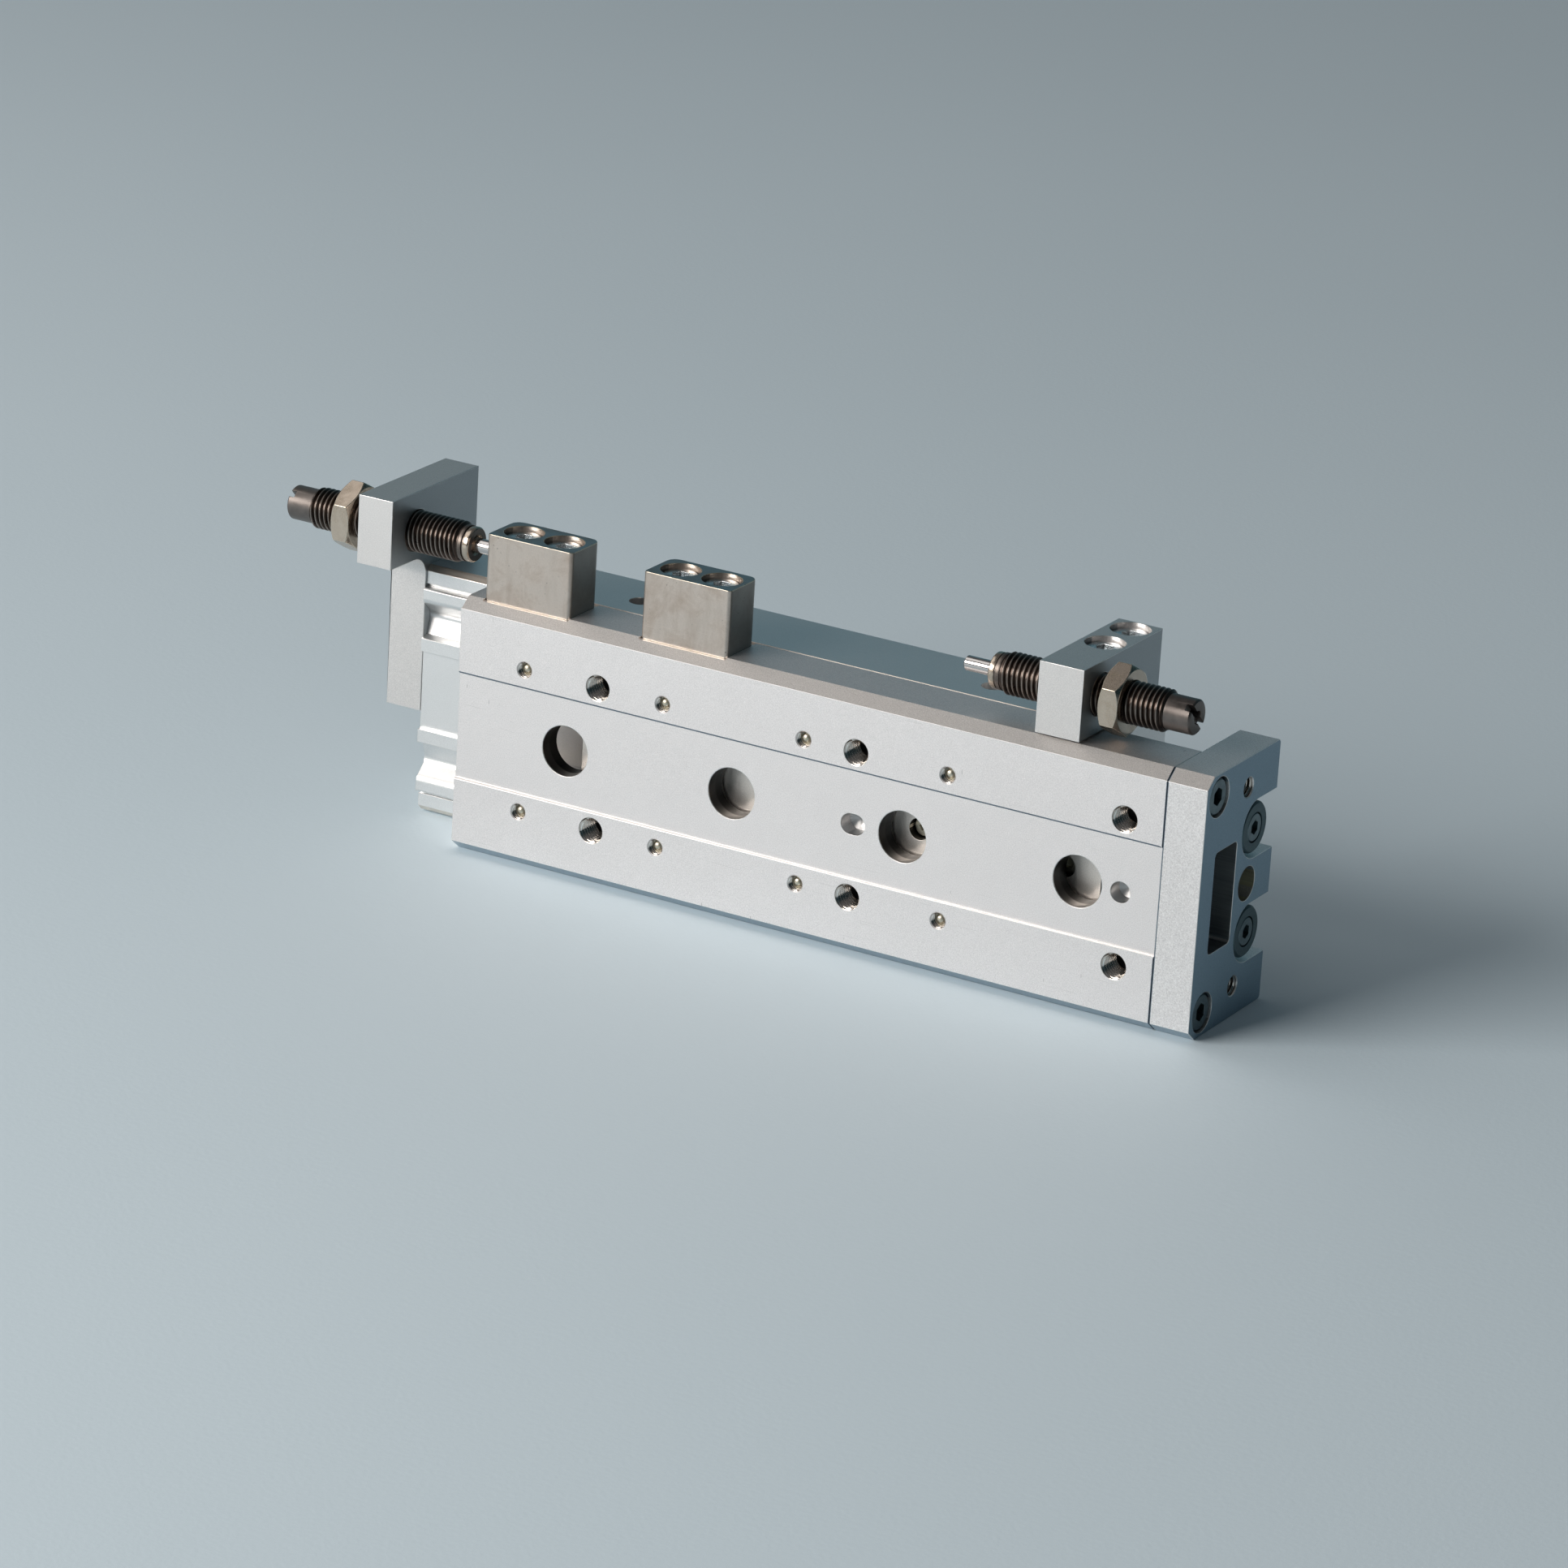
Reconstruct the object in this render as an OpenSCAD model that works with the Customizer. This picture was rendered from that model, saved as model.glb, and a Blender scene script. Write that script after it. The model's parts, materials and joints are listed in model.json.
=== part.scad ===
// Pneumatic slide table: twin 12 mm bores, a crossed roller guide and two shock absorbers.
// X is the direction of travel, positive as the table extends. The table's mounting face
// looks along -Y, and the unit rests on one narrow side, with +Z up.

/* [Table] */
// Length of the table
table_l = 148.2; // [140:0.1:160]
// Width of the table and of the whole unit
table_w = 50; // [49.6:0.1:54]
// Distance from the middle column of bolts back to the table's rear end
table_rear = 85.4; // [84:0.1:90]
// Thickness of the table's web, from the outer bands of its face
web_t = 5.5; // [5.2:0.1:5.8]
// Depth of the table's side walls, which overlap the body
side_depth = 13.1; // [12.8:0.1:13.3]
// Thickness of the table's side walls beside the guide
side_t = 8.1; // [7.9:0.1:8.2]
// Half width of the middle band of the face
band_half = 10.3; // [9.5:0.1:11]
// Step down from the outer bands to the middle band
band_step = 0.5; // [0.2:0.05:0.8]
// Chamfer of the face's long edges, across the face
edge_z = 2; // [1:0.1:3]
// Chamfer of the face's long edges, into the depth
edge_y = 2.5; // [1:0.1:3]

/* [Table holes] */
// Pitch of the bolt columns along the table
bolt_pitch = 55; // [50:0.5:58]
// Distance of each bolt row from the centre line
bolt_row = 14; // [13.6:0.1:14.4]
// Tapping radius of the bolt holes
bolt_hole_r = 2.1; // [1.9:0.05:2.4]
// Thickness left under the bolt holes
bolt_floor = 0.3; // [0.2:0.05:1]
// Width of the countersink round the bolt holes
bolt_sink = 0.45; // [0.1:0.05:0.6]
// Position of the first access hole from the middle bolt column
access_first = -61.7; // [-64:0.1:-60]
// Pitch of the access holes
access_pitch = 36; // [34:0.5:37]
// Number of access holes
access_n = 4; // [2:1:4]
// Radius of the access holes
access_r = 4.9; // [4.2:0.1:5.2]
// Radius of the location hole and slot
location_r = 2; // [1.5:0.05:2.3]
// Depth of the location hole and slot
location_depth = 3.4; // [2:0.1:4]
// Extra length of the location slot
slot_extra = 1; // [0:0.1:2]

/* [Crossed roller guide] */
// Roller diameter
roller_d = 3; // [2.6:0.05:3.1]
// Number of rollers in each row
roller_n = 14; // [4:1:14]
// Pitch of the rollers
roller_pitch = 4.4; // [4.2:0.1:4.6]
// Height of the guide rails fixed under the table
side_rail_h = 6.1; // [6:0.1:6.4]
// Length of the guide rails fixed under the table
side_rail_l = 105; // [100:1:108]
// Position of the first screw of the table's rails from the middle bolt column
side_screw_first = -71; // [-72:0.1:-70]
// Pitch of the screws of the table's rails
side_screw_pitch = 30; // [28:0.5:30.5]
// Number of screws in each of the table's rails
side_screw_n = 4; // [2:1:4]
// Length of the centre rail fixed to the body
centre_rail_l = 107; // [104:0.5:108]
// Half width of the centre rail between its roller grooves
centre_rail_half = 8; // [7.9:0.05:8.1]
// Gap between the table's web and the centre rail
guide_gap = 0.6; // [0.4:0.05:0.8]
// Gap between the centre rail and each side rail
roller_gap = 0.8; // [0.7:0.05:1]
// Thickness of the roller cages
cage_t = 0.5; // [0.3:0.05:0.6]

/* [Body] */
// Length of the body
body_l = 147.5; // [146:0.5:152]
// Width of the body
body_w = 49.2; // [48.8:0.1:49.6]
// Depth of the whole unit, from the table's face to the body's back
unit_depth = 32.5; // [32.2:0.1:35]
// Distance from the body's front to the end plate, at rest
table_advance = 17; // [8:0.5:20]
// Gap between the table's side walls and the body
side_gap = 0.3; // [0.25:0.05:0.6]
// Radius of the cylinder bores
bore_r = 6; // [5.6:0.05:6.1]
// Distance of each bore from the centre line
bore_z = 10; // [9.8:0.1:10.2]
// Depth of the bores' axes behind the table's face
bore_y = 21.2; // [21.1:0.1:21.6]
// Tapping radius of the air ports
port_r = 2.1; // [1.9:0.05:2.3]
// Distance of the rear air port from the body's rear end
port_rear = 42.3; // [38:0.1:50]
// Distance of the front air port from the body's front end
port_front = 30; // [26:0.5:34]
// Wall left between an air port's floor and its bore
port_floor = 0.4; // [0.3:0.05:1]
// Radius of the passage from an air port to its bore
port_passage_r = 0.9; // [0.6:0.05:1.2]
// Length of the plugs in the lower air ports
port_plug_l = 3.7; // [3:0.1:5]
// Tapping radius of the mounting holes in the body's back
mount_r = 2.1; // [1.9:0.05:2.3]
// Radius of the switch grooves in the body's lower side
switch_groove_r = 2; // [1.6:0.05:2.1]

/* [Cylinders] */
// Radius of the piston rods
rod_r = 3; // [2.6:0.05:3.2]
// Running clearance round rods and pistons
running = 0.03; // [0.02:0.01:0.08]
// Length of the rear caps in the bores
head_cap_l = 14; // [12:0.5:16]
// Length of the rod covers in the bores
rod_cover_l = 34.5; // [30:0.5:36]
// Length of the pistons
piston_l = 20; // [17:0.5:21]
// Thickness of the rubber bumpers
bumper_t = 2; // [1:0.1:3]
// Distance that the pistons have left at rest before they reach the rear bumpers
piston_reserve = 16; // [7:0.5:18]
// Distance of the piston's seal groove from its rear end
piston_seal_x = 3; // [2:0.1:4]
// Width of the piston's seal groove
piston_seal_w = 2; // [1.6:0.1:2.5]
// Depth of the piston's seal groove
piston_seal_d = 1.3; // [1:0.05:1.5]
// Distance of the piston's magnet groove from its rear end
piston_magnet_x = 7.5; // [7:0.1:9]
// Width of the piston's magnet groove
piston_magnet_w = 5; // [4:0.1:6]
// Depth of the piston's magnet groove
piston_magnet_d = 1.6; // [1.2:0.05:2]
// Distance of the rod's end from the piston's rear end
rod_socket_x = 4; // [2:0.1:6]
// Length of the rods' collars behind the end plate
rod_collar_l = 2.5; // [2:0.1:4]
// Height of the rods' collars
rod_collar_h = 1.2; // [0.8:0.1:2]
// Width of the seal grooves of the caps and covers
seal_w = 1.6; // [1.4:0.1:2]
// Depth of the seal grooves of the caps and covers
seal_d = 1.1; // [0.9:0.05:1.3]
// Distance of the caps' seal grooves from the body's rear end
cap_seal_x = 6; // [4:0.1:8]
// Distance of the covers' seal grooves from the body's front end
cover_seal_x = 9.6; // [8:0.1:12]
// Length of the rod seals
rod_seal_l = 3.1; // [2:0.1:3.6]
// Thickness of the rod seals
rod_seal_h = 1.6; // [1.2:0.05:1.8]
// Thickness of the retaining rings
ring_t = 1; // [0.8:0.05:1.2]
// Distance of the retaining rings from the body's front end
ring_in = 0.55; // [0.4:0.05:1]

/* [End plate] */
// Thickness of the end plate
plate_t = 8; // [7.5:0.1:10]
// Depth of the end plate
plate_depth = 28.5; // [27.5:0.1:30]
// Gap between the table and the end plate
plate_gap = 0.05; // [0.02:0.01:0.2]
// Half width of the rod slots
slot_half = 5.6; // [5.2:0.05:5.7]
// Depth of the step in the rod slots
slot_step = 3; // [2:0.1:4]
// Radius of the floating bushes
bush_r = 4.9; // [4.5:0.05:5.1]
// Nearest edge of the window behind the face
window_y0 = 5.2; // [5:0.1:7]
// Depth of the window
window_d = 8.6; // [7:0.1:9]
// Width of the window
window_w = 19.4; // [16:0.1:20]
// Distance of the tapped holes from the centre line
plate_tap_z = 19; // [18.8:0.1:19.2]
// Depth of the tapped holes behind the face
plate_tap_y = 16.6; // [16:0.1:18]
// Tapping radius of the tapped holes
plate_tap_r = 1.65; // [1.5:0.05:1.8]
// Radius of the centre hole
centre_hole_r = 3.25; // [2.5:0.05:3.4]

/* [Stop blocks] */
// Length of each stop block
block_l = 18.6; // [18:0.1:20]
// Depth of each stop block
block_d = 10.2; // [9.8:0.1:10.3]
// Height of each stop block above the table's side
block_h = 12.7; // [12.3:0.1:14]
// Distance from the table's rear end to the rear block
rear_block_x = 3.4; // [2:0.1:6]
// Distance from the table's rear end to the front block
front_block_x = 37.4; // [30:0.1:40]
// Depth of the shallow seats of the blocks in the table's side
block_seat = 0.4; // [0.2:0.05:0.6]
// Pitch of the two screws in each block
block_screw_pitch = 8.8; // [8.2:0.1:9]

/* [Shock absorbers] */
// Outer radius of the absorbers' thread
absorber_r = 4; // [3.9:0.05:4]
// Depth of the absorbers' thread
thread_depth = 0.6; // [0.4:0.05:0.8]
// Length of the absorbers' threaded part
absorber_thread_l = 33.4; // [30:0.1:36]
// Length of the collar in front of the thread
absorber_collar_l = 2.4; // [1.6:0.1:3]
// Length of the plain end with the screwdriver slot
absorber_tail_l = 5; // [4:0.1:6]
// Width of the screwdriver slot in the absorbers' ends
slot_w = 1.3; // [0.8:0.1:1.6]
// Depth of the screwdriver slot
slot_d = 1.3; // [0.8:0.1:1.6]
// Angle of the screwdriver slot from upright
slot_turn = 45; // [0:5:90]
// Radius of the absorber rods
absorber_rod_r = 1.4; // [1.2:0.05:1.5]
// Stroke of the absorber rods
absorber_stroke = 6; // [5:0.1:6]
// Depth of the absorbers' axes behind the table's face
absorber_y = 9.2; // [8.8:0.1:9.6]
// Height of the absorbers' axes above the table's side
absorber_h = 7.5; // [7.2:0.1:8]
// Length of the front absorber that stands out of its holder
front_reach = 18.4; // [17:0.1:20]
// Width across the flats of the lock nuts
nut_af = 12; // [11:0.1:12.5]
// Thickness of the lock nuts
nut_t = 4; // [3:0.1:4.5]
// Distance from the rear absorber's slotted end to its lock nut
rear_nut_in = 11.8; // [7:0.1:12.6]
// Least clearance between the rear lock nut and its bracket
rear_nut_clear = 0.3; // [0.2:0.1:2]
// Gap between the front lock nut and its holder
front_nut_gap = 2.4; // [0.3:0.1:6]
// Gap left between the rear absorber's rod and its block
touch_gap = 0.2; // [0.15:0.05:0.4]

/* [Absorber mounts] */
// Thickness of the rear bracket
bracket_t = 7.6; // [7:0.1:9]
// Distance of the rear bracket's arm behind the table's face
bracket_y0 = 0.5; // [0:0.1:2]
// Depth of the rear bracket, up to its back edge
bracket_y1 = 30.2; // [29:0.1:31]
// Depth at which the rear bracket's plate starts
bracket_plate_y = 12.8; // [12:0.1:13.2]
// Height of the rear bracket's arm
bracket_arm_h = 13.5; // [13:0.1:14.5]
// Height of the rear bracket's arm above the table's side
bracket_lift = 1.7; // [1.4:0.1:2.2]
// Distance of the rear bracket's lower edge below the centre line
bracket_low = 4.4; // [4:0.1:6]
// Fillet between the rear bracket's arm and plate
bracket_fillet = 4; // [2:0.1:5]
// Length of the front holder
holder_l = 9; // [8.6:0.1:10]
// Distance of the front holder behind the body's front
holder_back = 2; // [1.8:0.1:4]
// Distance of the front holder behind the table's face
holder_y0 = 2; // [1:0.1:2.5]
// Height of the front holder above the table's side
holder_h = 13.9; // [13.5:0.1:15]
// Clearance between the front holder and the table's side
holder_gap = 0.35; // [0.3:0.05:0.6]
// Pitch of the two screws of the front holder
holder_screw_pitch = 9.8; // [9.4:0.1:10.2]
// Clearance of the absorber threads in their mounts
thread_gap = 0.06; // [0.04:0.01:0.1]

/* [Fasteners] */
// Diameter of the screws in the rod ends
rod_end_screw_d = 3.1; // [2.5:0.1:3.4]
// Head diameter of the screws in the rod ends
rod_end_head_d = 5.6; // [5:0.1:5.6]
// Head height of the screws in the rod ends
rod_end_head_h = 2.1; // [1.6:0.1:2.4]
// Depth of the rod end screws' heads below the end plate's face
rod_end_recess = 2.45; // [2.2:0.05:3]
// Diameter of the larger socket screws
screw_d = 4; // [3.8:0.1:4]
// Head diameter of the larger socket screws
screw_head_d = 7; // [6.6:0.1:7.1]
// Diameter of the side rails' screws
rail_screw_d = 3; // [2.8:0.1:3]
// Head diameter of the side rails' screws
rail_screw_head_d = 5; // [4.6:0.1:5]
// Diameter of the centre rail's screws
small_screw_d = 2; // [1.8:0.1:2.2]
// Head diameter of the centre rail's screws
small_screw_head_d = 3.9; // [3.6:0.1:4]
// Length of the end plate's screws
plate_screw_l = 12; // [10:0.5:14]
// Depth that the rear bracket's screws reach into the body
bracket_screw_grip = 8; // [6:0.5:10]
// Depth that the front holder's screws reach into the body
holder_screw_grip = 6; // [4:0.5:7]
// Depth that the stop blocks' screws reach into the table
block_screw_grip = 5; // [4:0.5:6]
// Depth that the screws' heads are let in
head_recess = 0.9; // [0.3:0.1:1.5]
// Depth that the end plate's and bracket's screw heads are let in
flush_recess = 0.3; // [0.1:0.1:0.6]
// Radial clearance round screws and seated parts
seat = 0.01; // [0.01:0.01:0.02]

/* [Hidden] */
$fn = 48;
cut = 1;

// Positions along X, measured from the middle bolt column
table_x0 = -table_rear;
table_x1 = table_l - table_rear;
plate_x0 = table_x1 + plate_gap;
plate_x1 = plate_x0 + plate_t;
body_x1 = plate_x0 - table_advance;
body_x0 = body_x1 - body_l;
centre_rail_x1 = body_x1 - 0.2;
centre_rail_x0 = centre_rail_x1 - centre_rail_l;
side_rail_end = (side_rail_l - (side_screw_n - 1) * side_screw_pitch) / 2;
side_rail_x0 = side_screw_first - side_rail_end;
side_rail_x1 = side_rail_x0 + side_rail_l;
cage_l = roller_n * roller_pitch;
guide_mid = (max(centre_rail_x0, side_rail_x0) + min(centre_rail_x1, side_rail_x1)) / 2;
cage_x0 = guide_mid - cage_l / 2;
holder_x1 = body_x1 - holder_back;
holder_x0 = holder_x1 - holder_l;
holder_mid_x = (holder_x0 + holder_x1) / 2;
bracket_x0 = body_x0 - bracket_t;
rear_block_x0 = table_x0 + rear_block_x;
front_block_x0 = table_x0 + front_block_x;
absorber_l = absorber_stroke + absorber_collar_l + absorber_thread_l + absorber_tail_l;
bush_l = 2 * absorber_collar_l;
rear_tip_x = rear_block_x0 - touch_gap;
front_tip_x = holder_x0 - front_reach;

// Rear lock nut, measured from the absorber's tip: behind the bracket where the thread reaches
// through it, and otherwise in front of it
thread_end = absorber_stroke + absorber_collar_l + absorber_thread_l;
bracket_back = rear_tip_x - bracket_x0;
bracket_front = rear_tip_x - body_x0;
nut_free = absorber_l - rear_nut_in - nut_t;
rear_nut_x = bracket_back + rear_nut_clear + nut_t <= thread_end
  ? max(nut_free, bracket_back + rear_nut_clear)
  : min(nut_free, bracket_front - rear_nut_clear - nut_t);

// Positions across the unit
half_w = table_w / 2;
body_half = body_w / 2;
side_in = half_w - side_t;
lip_in = 20.9;
groove_out = 21;
lobe_out = 20.4;
flange_y = side_depth + side_gap;
lobe_y = flange_y - 1.1;
skirt_y = lobe_y - side_gap;
seat_y = flange_y - 0.4;
ridge_y = lobe_y - 0.1;
seat_half = 7.7;
ridge_out = 10.4;
channel_y = flange_y + 1.7;
edge_r = 0.3;
centre_rail_y = web_t + guide_gap;
side_rail_y1 = web_t + side_rail_h;
roller_y = web_t + 3.3;
roller_z = centre_rail_half + roller_gap / 2;
groove_r = roller_d / 2 + 0.03;
side_rail_z0 = centre_rail_half + roller_gap;
side_rail_z1 = side_in - 0.1;
absorber_z = half_w + absorber_h;

// Pistons, rods and covers
head_cap_x1 = body_x0 + head_cap_l;
piston_x0 = head_cap_x1 + bumper_t + piston_reserve;
piston_x1 = piston_x0 + piston_l;
rod_x0 = piston_x0 + rod_socket_x;
piston_r = bore_r - running;
rod_cover_x0 = body_x1 - rod_cover_l;
ring_x0 = body_x1 - ring_in - ring_t;
cover_x1 = ring_x0 - running;
step_x = plate_x0 + slot_step;
port_z = bore_z + bore_r + port_floor;

// The frame's origin: the centre of the whole unit's footprint
min_x = rear_tip_x - absorber_l;
max_x = plate_x1;
origin = [-(min_x + max_x) / 2, -unit_depth / 2, half_w];

// Bolt and screw positions
bolt_xs = [-bolt_pitch, 0, bolt_pitch];
access_xs = [for (i = [0:access_n - 1]) access_first + i * access_pitch];
mount_xs = [for (x = access_xs) x - table_advance];
side_screw_xs = [for (i = [0:side_screw_n - 1]) side_screw_first + i * side_screw_pitch];
centre_screw_xs = [for (i = [0:3]) centre_rail_x1 - 4.9 - i * side_screw_pitch];
block_screw_y = edge_y + 0.1 + block_d / 2;
holder_screw_ys = [for (i = [0:1]) unit_depth - 4.3 - i * holder_screw_pitch];
bracket_screw_zs = [0, 20];
bracket_screw_y = bore_y;
plate_screw_y = 4.9;
plate_screw_z = half_w - 4.5;
screw_head_h = screw_d;
head_hole_r = screw_head_d / 2 + 0.3;
plate_screw_x0 = plate_x1 - flush_recess - screw_head_h - plate_screw_l;

// Moves a part from the bolt column's frame to the unit's frame
module place() {
  translate(origin) children();
}

// Cylinders along each axis, from one coordinate to another
module x_rod(x0, x1, r, y, z) {
  translate([x0, y, z]) rotate([0, 90, 0]) cylinder(h = x1 - x0, r = r);
}

module y_rod(y0, y1, r, x, z) {
  translate([x, y0, z]) rotate([-90, 0, 0]) cylinder(h = y1 - y0, r = r);
}

module z_rod(z0, z1, r, x, y) {
  translate([x, y, z0]) cylinder(h = z1 - z0, r = r);
}

// Cone that opens towards the table's face, used as a countersink
module y_sink(y, r, w, x, z) {
  translate([x, y, z]) rotate([-90, 0, 0]) cylinder(h = w, r1 = r + w, r2 = r);
}

// Extrudes an outline given as (Y, Z) points along X
module x_profile(x0, x1) {
  translate([x0, 0, 0]) rotate([90, 0, 90]) linear_extrude(height = x1 - x0) children();
}

// Revolves an outline given as (X, radius) points about a line along X
module x_revolve(points, x, y, z) {
  translate([x, y, z]) rotate([0, 90, 0])
    rotate_extrude() polygon([for (p = points) [p[1], p[0]]]);
}

// Repeats its children on both sides of the centre line
module both_sides() {
  children();
  mirror([0, 0, 1]) children();
}

// Closes a half outline by adding its mirror image across the centre line
function whole(half) = concat(half, [for (i = [len(half) - 1:-1:0]) [half[i][0], -half[i][1]]]);

// Points of a quarter circle about c, from angle a0 to a1
function arc(c, r, a0, a1, n = 6) =
  [for (i = [0:n]) let (a = a0 + (a1 - a0) * i / n) [c[0] + r * cos(a), c[1] + r * sin(a)]];

// Socket head screw along -Z, with the underside of its head at the origin
module socket_screw(d, head_d, head_h, l) {
  bevel = head_d * 0.05;
  difference() {
    union() {
      translate([0, 0, head_h - bevel]) cylinder(h = bevel, r1 = head_d / 2, r2 = head_d / 2 - bevel);
      cylinder(h = head_h - bevel, r = head_d / 2);
      translate([0, 0, -l]) cylinder(h = l, r = d / 2 - seat);
    }
    translate([0, 0, head_h * 0.45]) cylinder(h = head_h, r = head_d * 0.25, $fn = 6);
  }
}

/* Table and the parts fixed to it */

function table_outline() = whole([
  [band_step, band_half], [0, band_half], [0, half_w - edge_z], [edge_y, half_w],
  [side_depth, half_w], [side_depth, lip_in], [skirt_y, lip_in], [skirt_y, side_in],
  [web_t, side_in]
]);

// A location hole, stretched along X into a slot when extra is not zero
module location_cut(x, extra) {
  half = extra / 2;
  floor_y = band_step + location_depth;
  for (s = [-half, half]) {
    y_rod(0, floor_y, location_r, x + s, 0);
    translate([x + s, floor_y, 0]) rotate([-90, 0, 0]) cylinder(h = 0.6, r1 = location_r, r2 = 0.2);
  }
  if (extra > 0) translate([x - half, 0, -location_r]) cube([extra, floor_y, 2 * location_r]);
}

module table() {
  color([0.80, 0.81, 0.82]) place() difference() {
    x_profile(table_x0, table_x1) polygon(table_outline());
    for (x = bolt_xs, s = [-1, 1]) {
      y_rod(-cut, web_t - bolt_floor, bolt_hole_r, x, s * bolt_row);
      y_sink(0, bolt_hole_r, bolt_sink, x, s * bolt_row);
    }
    for (x = side_screw_xs, s = [-1, 1]) {
      y_rod(-cut, web_t + cut, rail_screw_d / 2, x, s * bolt_row);
      y_sink(0, rail_screw_d / 2, 0.2, x, s * bolt_row);
    }
    for (x = access_xs) y_rod(-cut, web_t + cut, access_r, x, 0);
    location_cut(0, slot_extra);
    location_cut(bolt_pitch, 0);
    for (s = [-1, 1])
      x_rod(plate_screw_x0 - screw_d / 4, table_x1 + cut, screw_d / 2, plate_screw_y, s * plate_screw_z);
    for (x = block_screw_xs())
      z_rod(half_w - block_screw_grip - screw_d / 4, half_w + cut, screw_d / 2, x, block_screw_y);
    for (x0 = [rear_block_x0, front_block_x0]) translate([x0 - seat, -cut, half_w - block_seat])
      cube([block_l + 2 * seat, side_depth + 2 * cut, block_seat + cut]);
  }
}

function block_screw_xs() = [
  for (x0 = [rear_block_x0, front_block_x0], s = [-1, 1]) x0 + block_l / 2 + s * block_screw_pitch / 2
];

// Slot for one rod: wide in front of the step, narrow behind it
module rod_slot() {
  x_rod(step_x, plate_x1 + cut, slot_half, bore_y, bore_z);
  translate([step_x, bore_y, bore_z - slot_half]) cube([plate_t + cut, plate_depth, 2 * slot_half]);
  x_rod(plate_x0 - cut, plate_x1, rod_r + 0.4, bore_y, bore_z);
  translate([plate_x0 - cut, bore_y, bore_z - rod_r - 0.4]) cube([plate_t + cut, plate_depth, 2 * rod_r + 0.8]);
}

module window_cut() {
  r = 1;
  translate([plate_x0 - cut, window_y0, -window_w / 2]) x_profile(0, plate_t + 2 * cut)
    translate([r, r]) offset_square(window_d - 2 * r, window_w - 2 * r, r);
}

// A rectangle with round corners, built from bars and discs
module offset_square(a, b, r) {
  for (x = [0, a], y = [0, b]) translate([x, y]) circle(r = r);
  translate([-r, 0]) square([a + 2 * r, b]);
  translate([0, -r]) square([a, b + 2 * r]);
}

module end_plate() {
  back_r = 0.8;
  half = concat(
    [[0, half_w - edge_z], [edge_y, half_w]],
    arc([plate_depth - back_r, half_w - back_r], back_r, 90, 0)
  );
  color([0.78, 0.79, 0.80]) place() difference() {
    x_profile(plate_x0, plate_x1) polygon(whole(half));
    window_cut();
    both_sides() rod_slot();
    x_rod(plate_x0 - cut, plate_x1 + cut, centre_hole_r, plate_centre_y(), 0);
    for (s = [-1, 1]) {
      x_rod(plate_x0 - cut, plate_x1 + cut, plate_tap_r, plate_tap_y, s * plate_tap_z);
      translate([plate_x1 - 0.4, plate_tap_y, s * plate_tap_z]) rotate([0, 90, 0])
        cylinder(h = 0.4, r1 = plate_tap_r, r2 = plate_tap_r + 0.4);
      x_rod(plate_x0 - cut, plate_x1 + cut, screw_d / 2 + 0.25, plate_screw_y, s * plate_screw_z);
      x_rod(plate_x1 - screw_head_h - flush_recess, plate_x1 + cut, head_hole_r, plate_screw_y,
        s * plate_screw_z);
    }
  }
}

// Depth of the centre hole behind the face
function plate_centre_y() = window_y0 + window_d + centre_hole_r + 1.9;

module end_plate_screws() {
  color([0.62, 0.63, 0.64]) place() for (s = [-1, 1])
    translate([plate_x1 - screw_head_h - flush_recess, plate_screw_y, s * plate_screw_z]) rotate([0, 90, 0])
      socket_screw(screw_d, screw_head_d, screw_head_h, plate_screw_l);
}

// A V groove for crossed rollers, as the square bar that fills it
module roller_bar(x0, x1) {
  translate([x0, roller_y, roller_z]) rotate([45, 0, 0])
    translate([0, -groove_r, -groove_r]) cube([x1 - x0, 2 * groove_r, 2 * groove_r]);
}

module side_rail() {
  difference() {
    translate([side_rail_x0, web_t, side_rail_z0])
      cube([side_rail_l, side_rail_h, side_rail_z1 - side_rail_z0]);
    roller_bar(side_rail_x0 - cut, side_rail_x1 + cut);
    for (x = side_screw_xs) {
      y_rod(web_t - cut, side_rail_y1 + cut, rail_screw_d / 2 + 0.1, x, bolt_row);
      y_rod(side_rail_y1 - 3, side_rail_y1 + cut, rail_screw_head_d / 2 + 0.1, x, bolt_row);
    }
  }
}

module side_rail_upper() {
  color([0.66, 0.66, 0.66]) place() side_rail();
}

module side_rail_lower() {
  color([0.66, 0.66, 0.66]) place() mirror([0, 0, 1]) side_rail();
}

module side_rail_screws() {
  head_h = 2.6;
  color([0.62, 0.63, 0.64]) place() for (x = side_screw_xs, s = [-1, 1])
    translate([x, side_rail_y1 - 3, s * bolt_row]) rotate([-90, 0, 0])
      socket_screw(rail_screw_d, rail_screw_head_d, head_h, web_t + side_rail_h - 3 - 1.2);
}

module rod(z) {
  collar_r = rod_r + rod_collar_h;
  collar_x1 = plate_x0 - 2 * plate_gap;
  collar_x0 = collar_x1 - rod_collar_l;
  end_x = step_x - plate_gap;
  x_revolve([
    [rod_x0, 0], [rod_x0, rod_r], [collar_x0, rod_r], [collar_x0, collar_r],
    [collar_x1, collar_r], [collar_x1, rod_r], [end_x, rod_r], [end_x, 0]
  ], 0, bore_y, z);
}

module rod_upper() {
  color([0.72, 0.73, 0.74]) place() rod(bore_z);
}

module rod_lower() {
  color([0.72, 0.73, 0.74]) place() rod(-bore_z);
}

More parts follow.
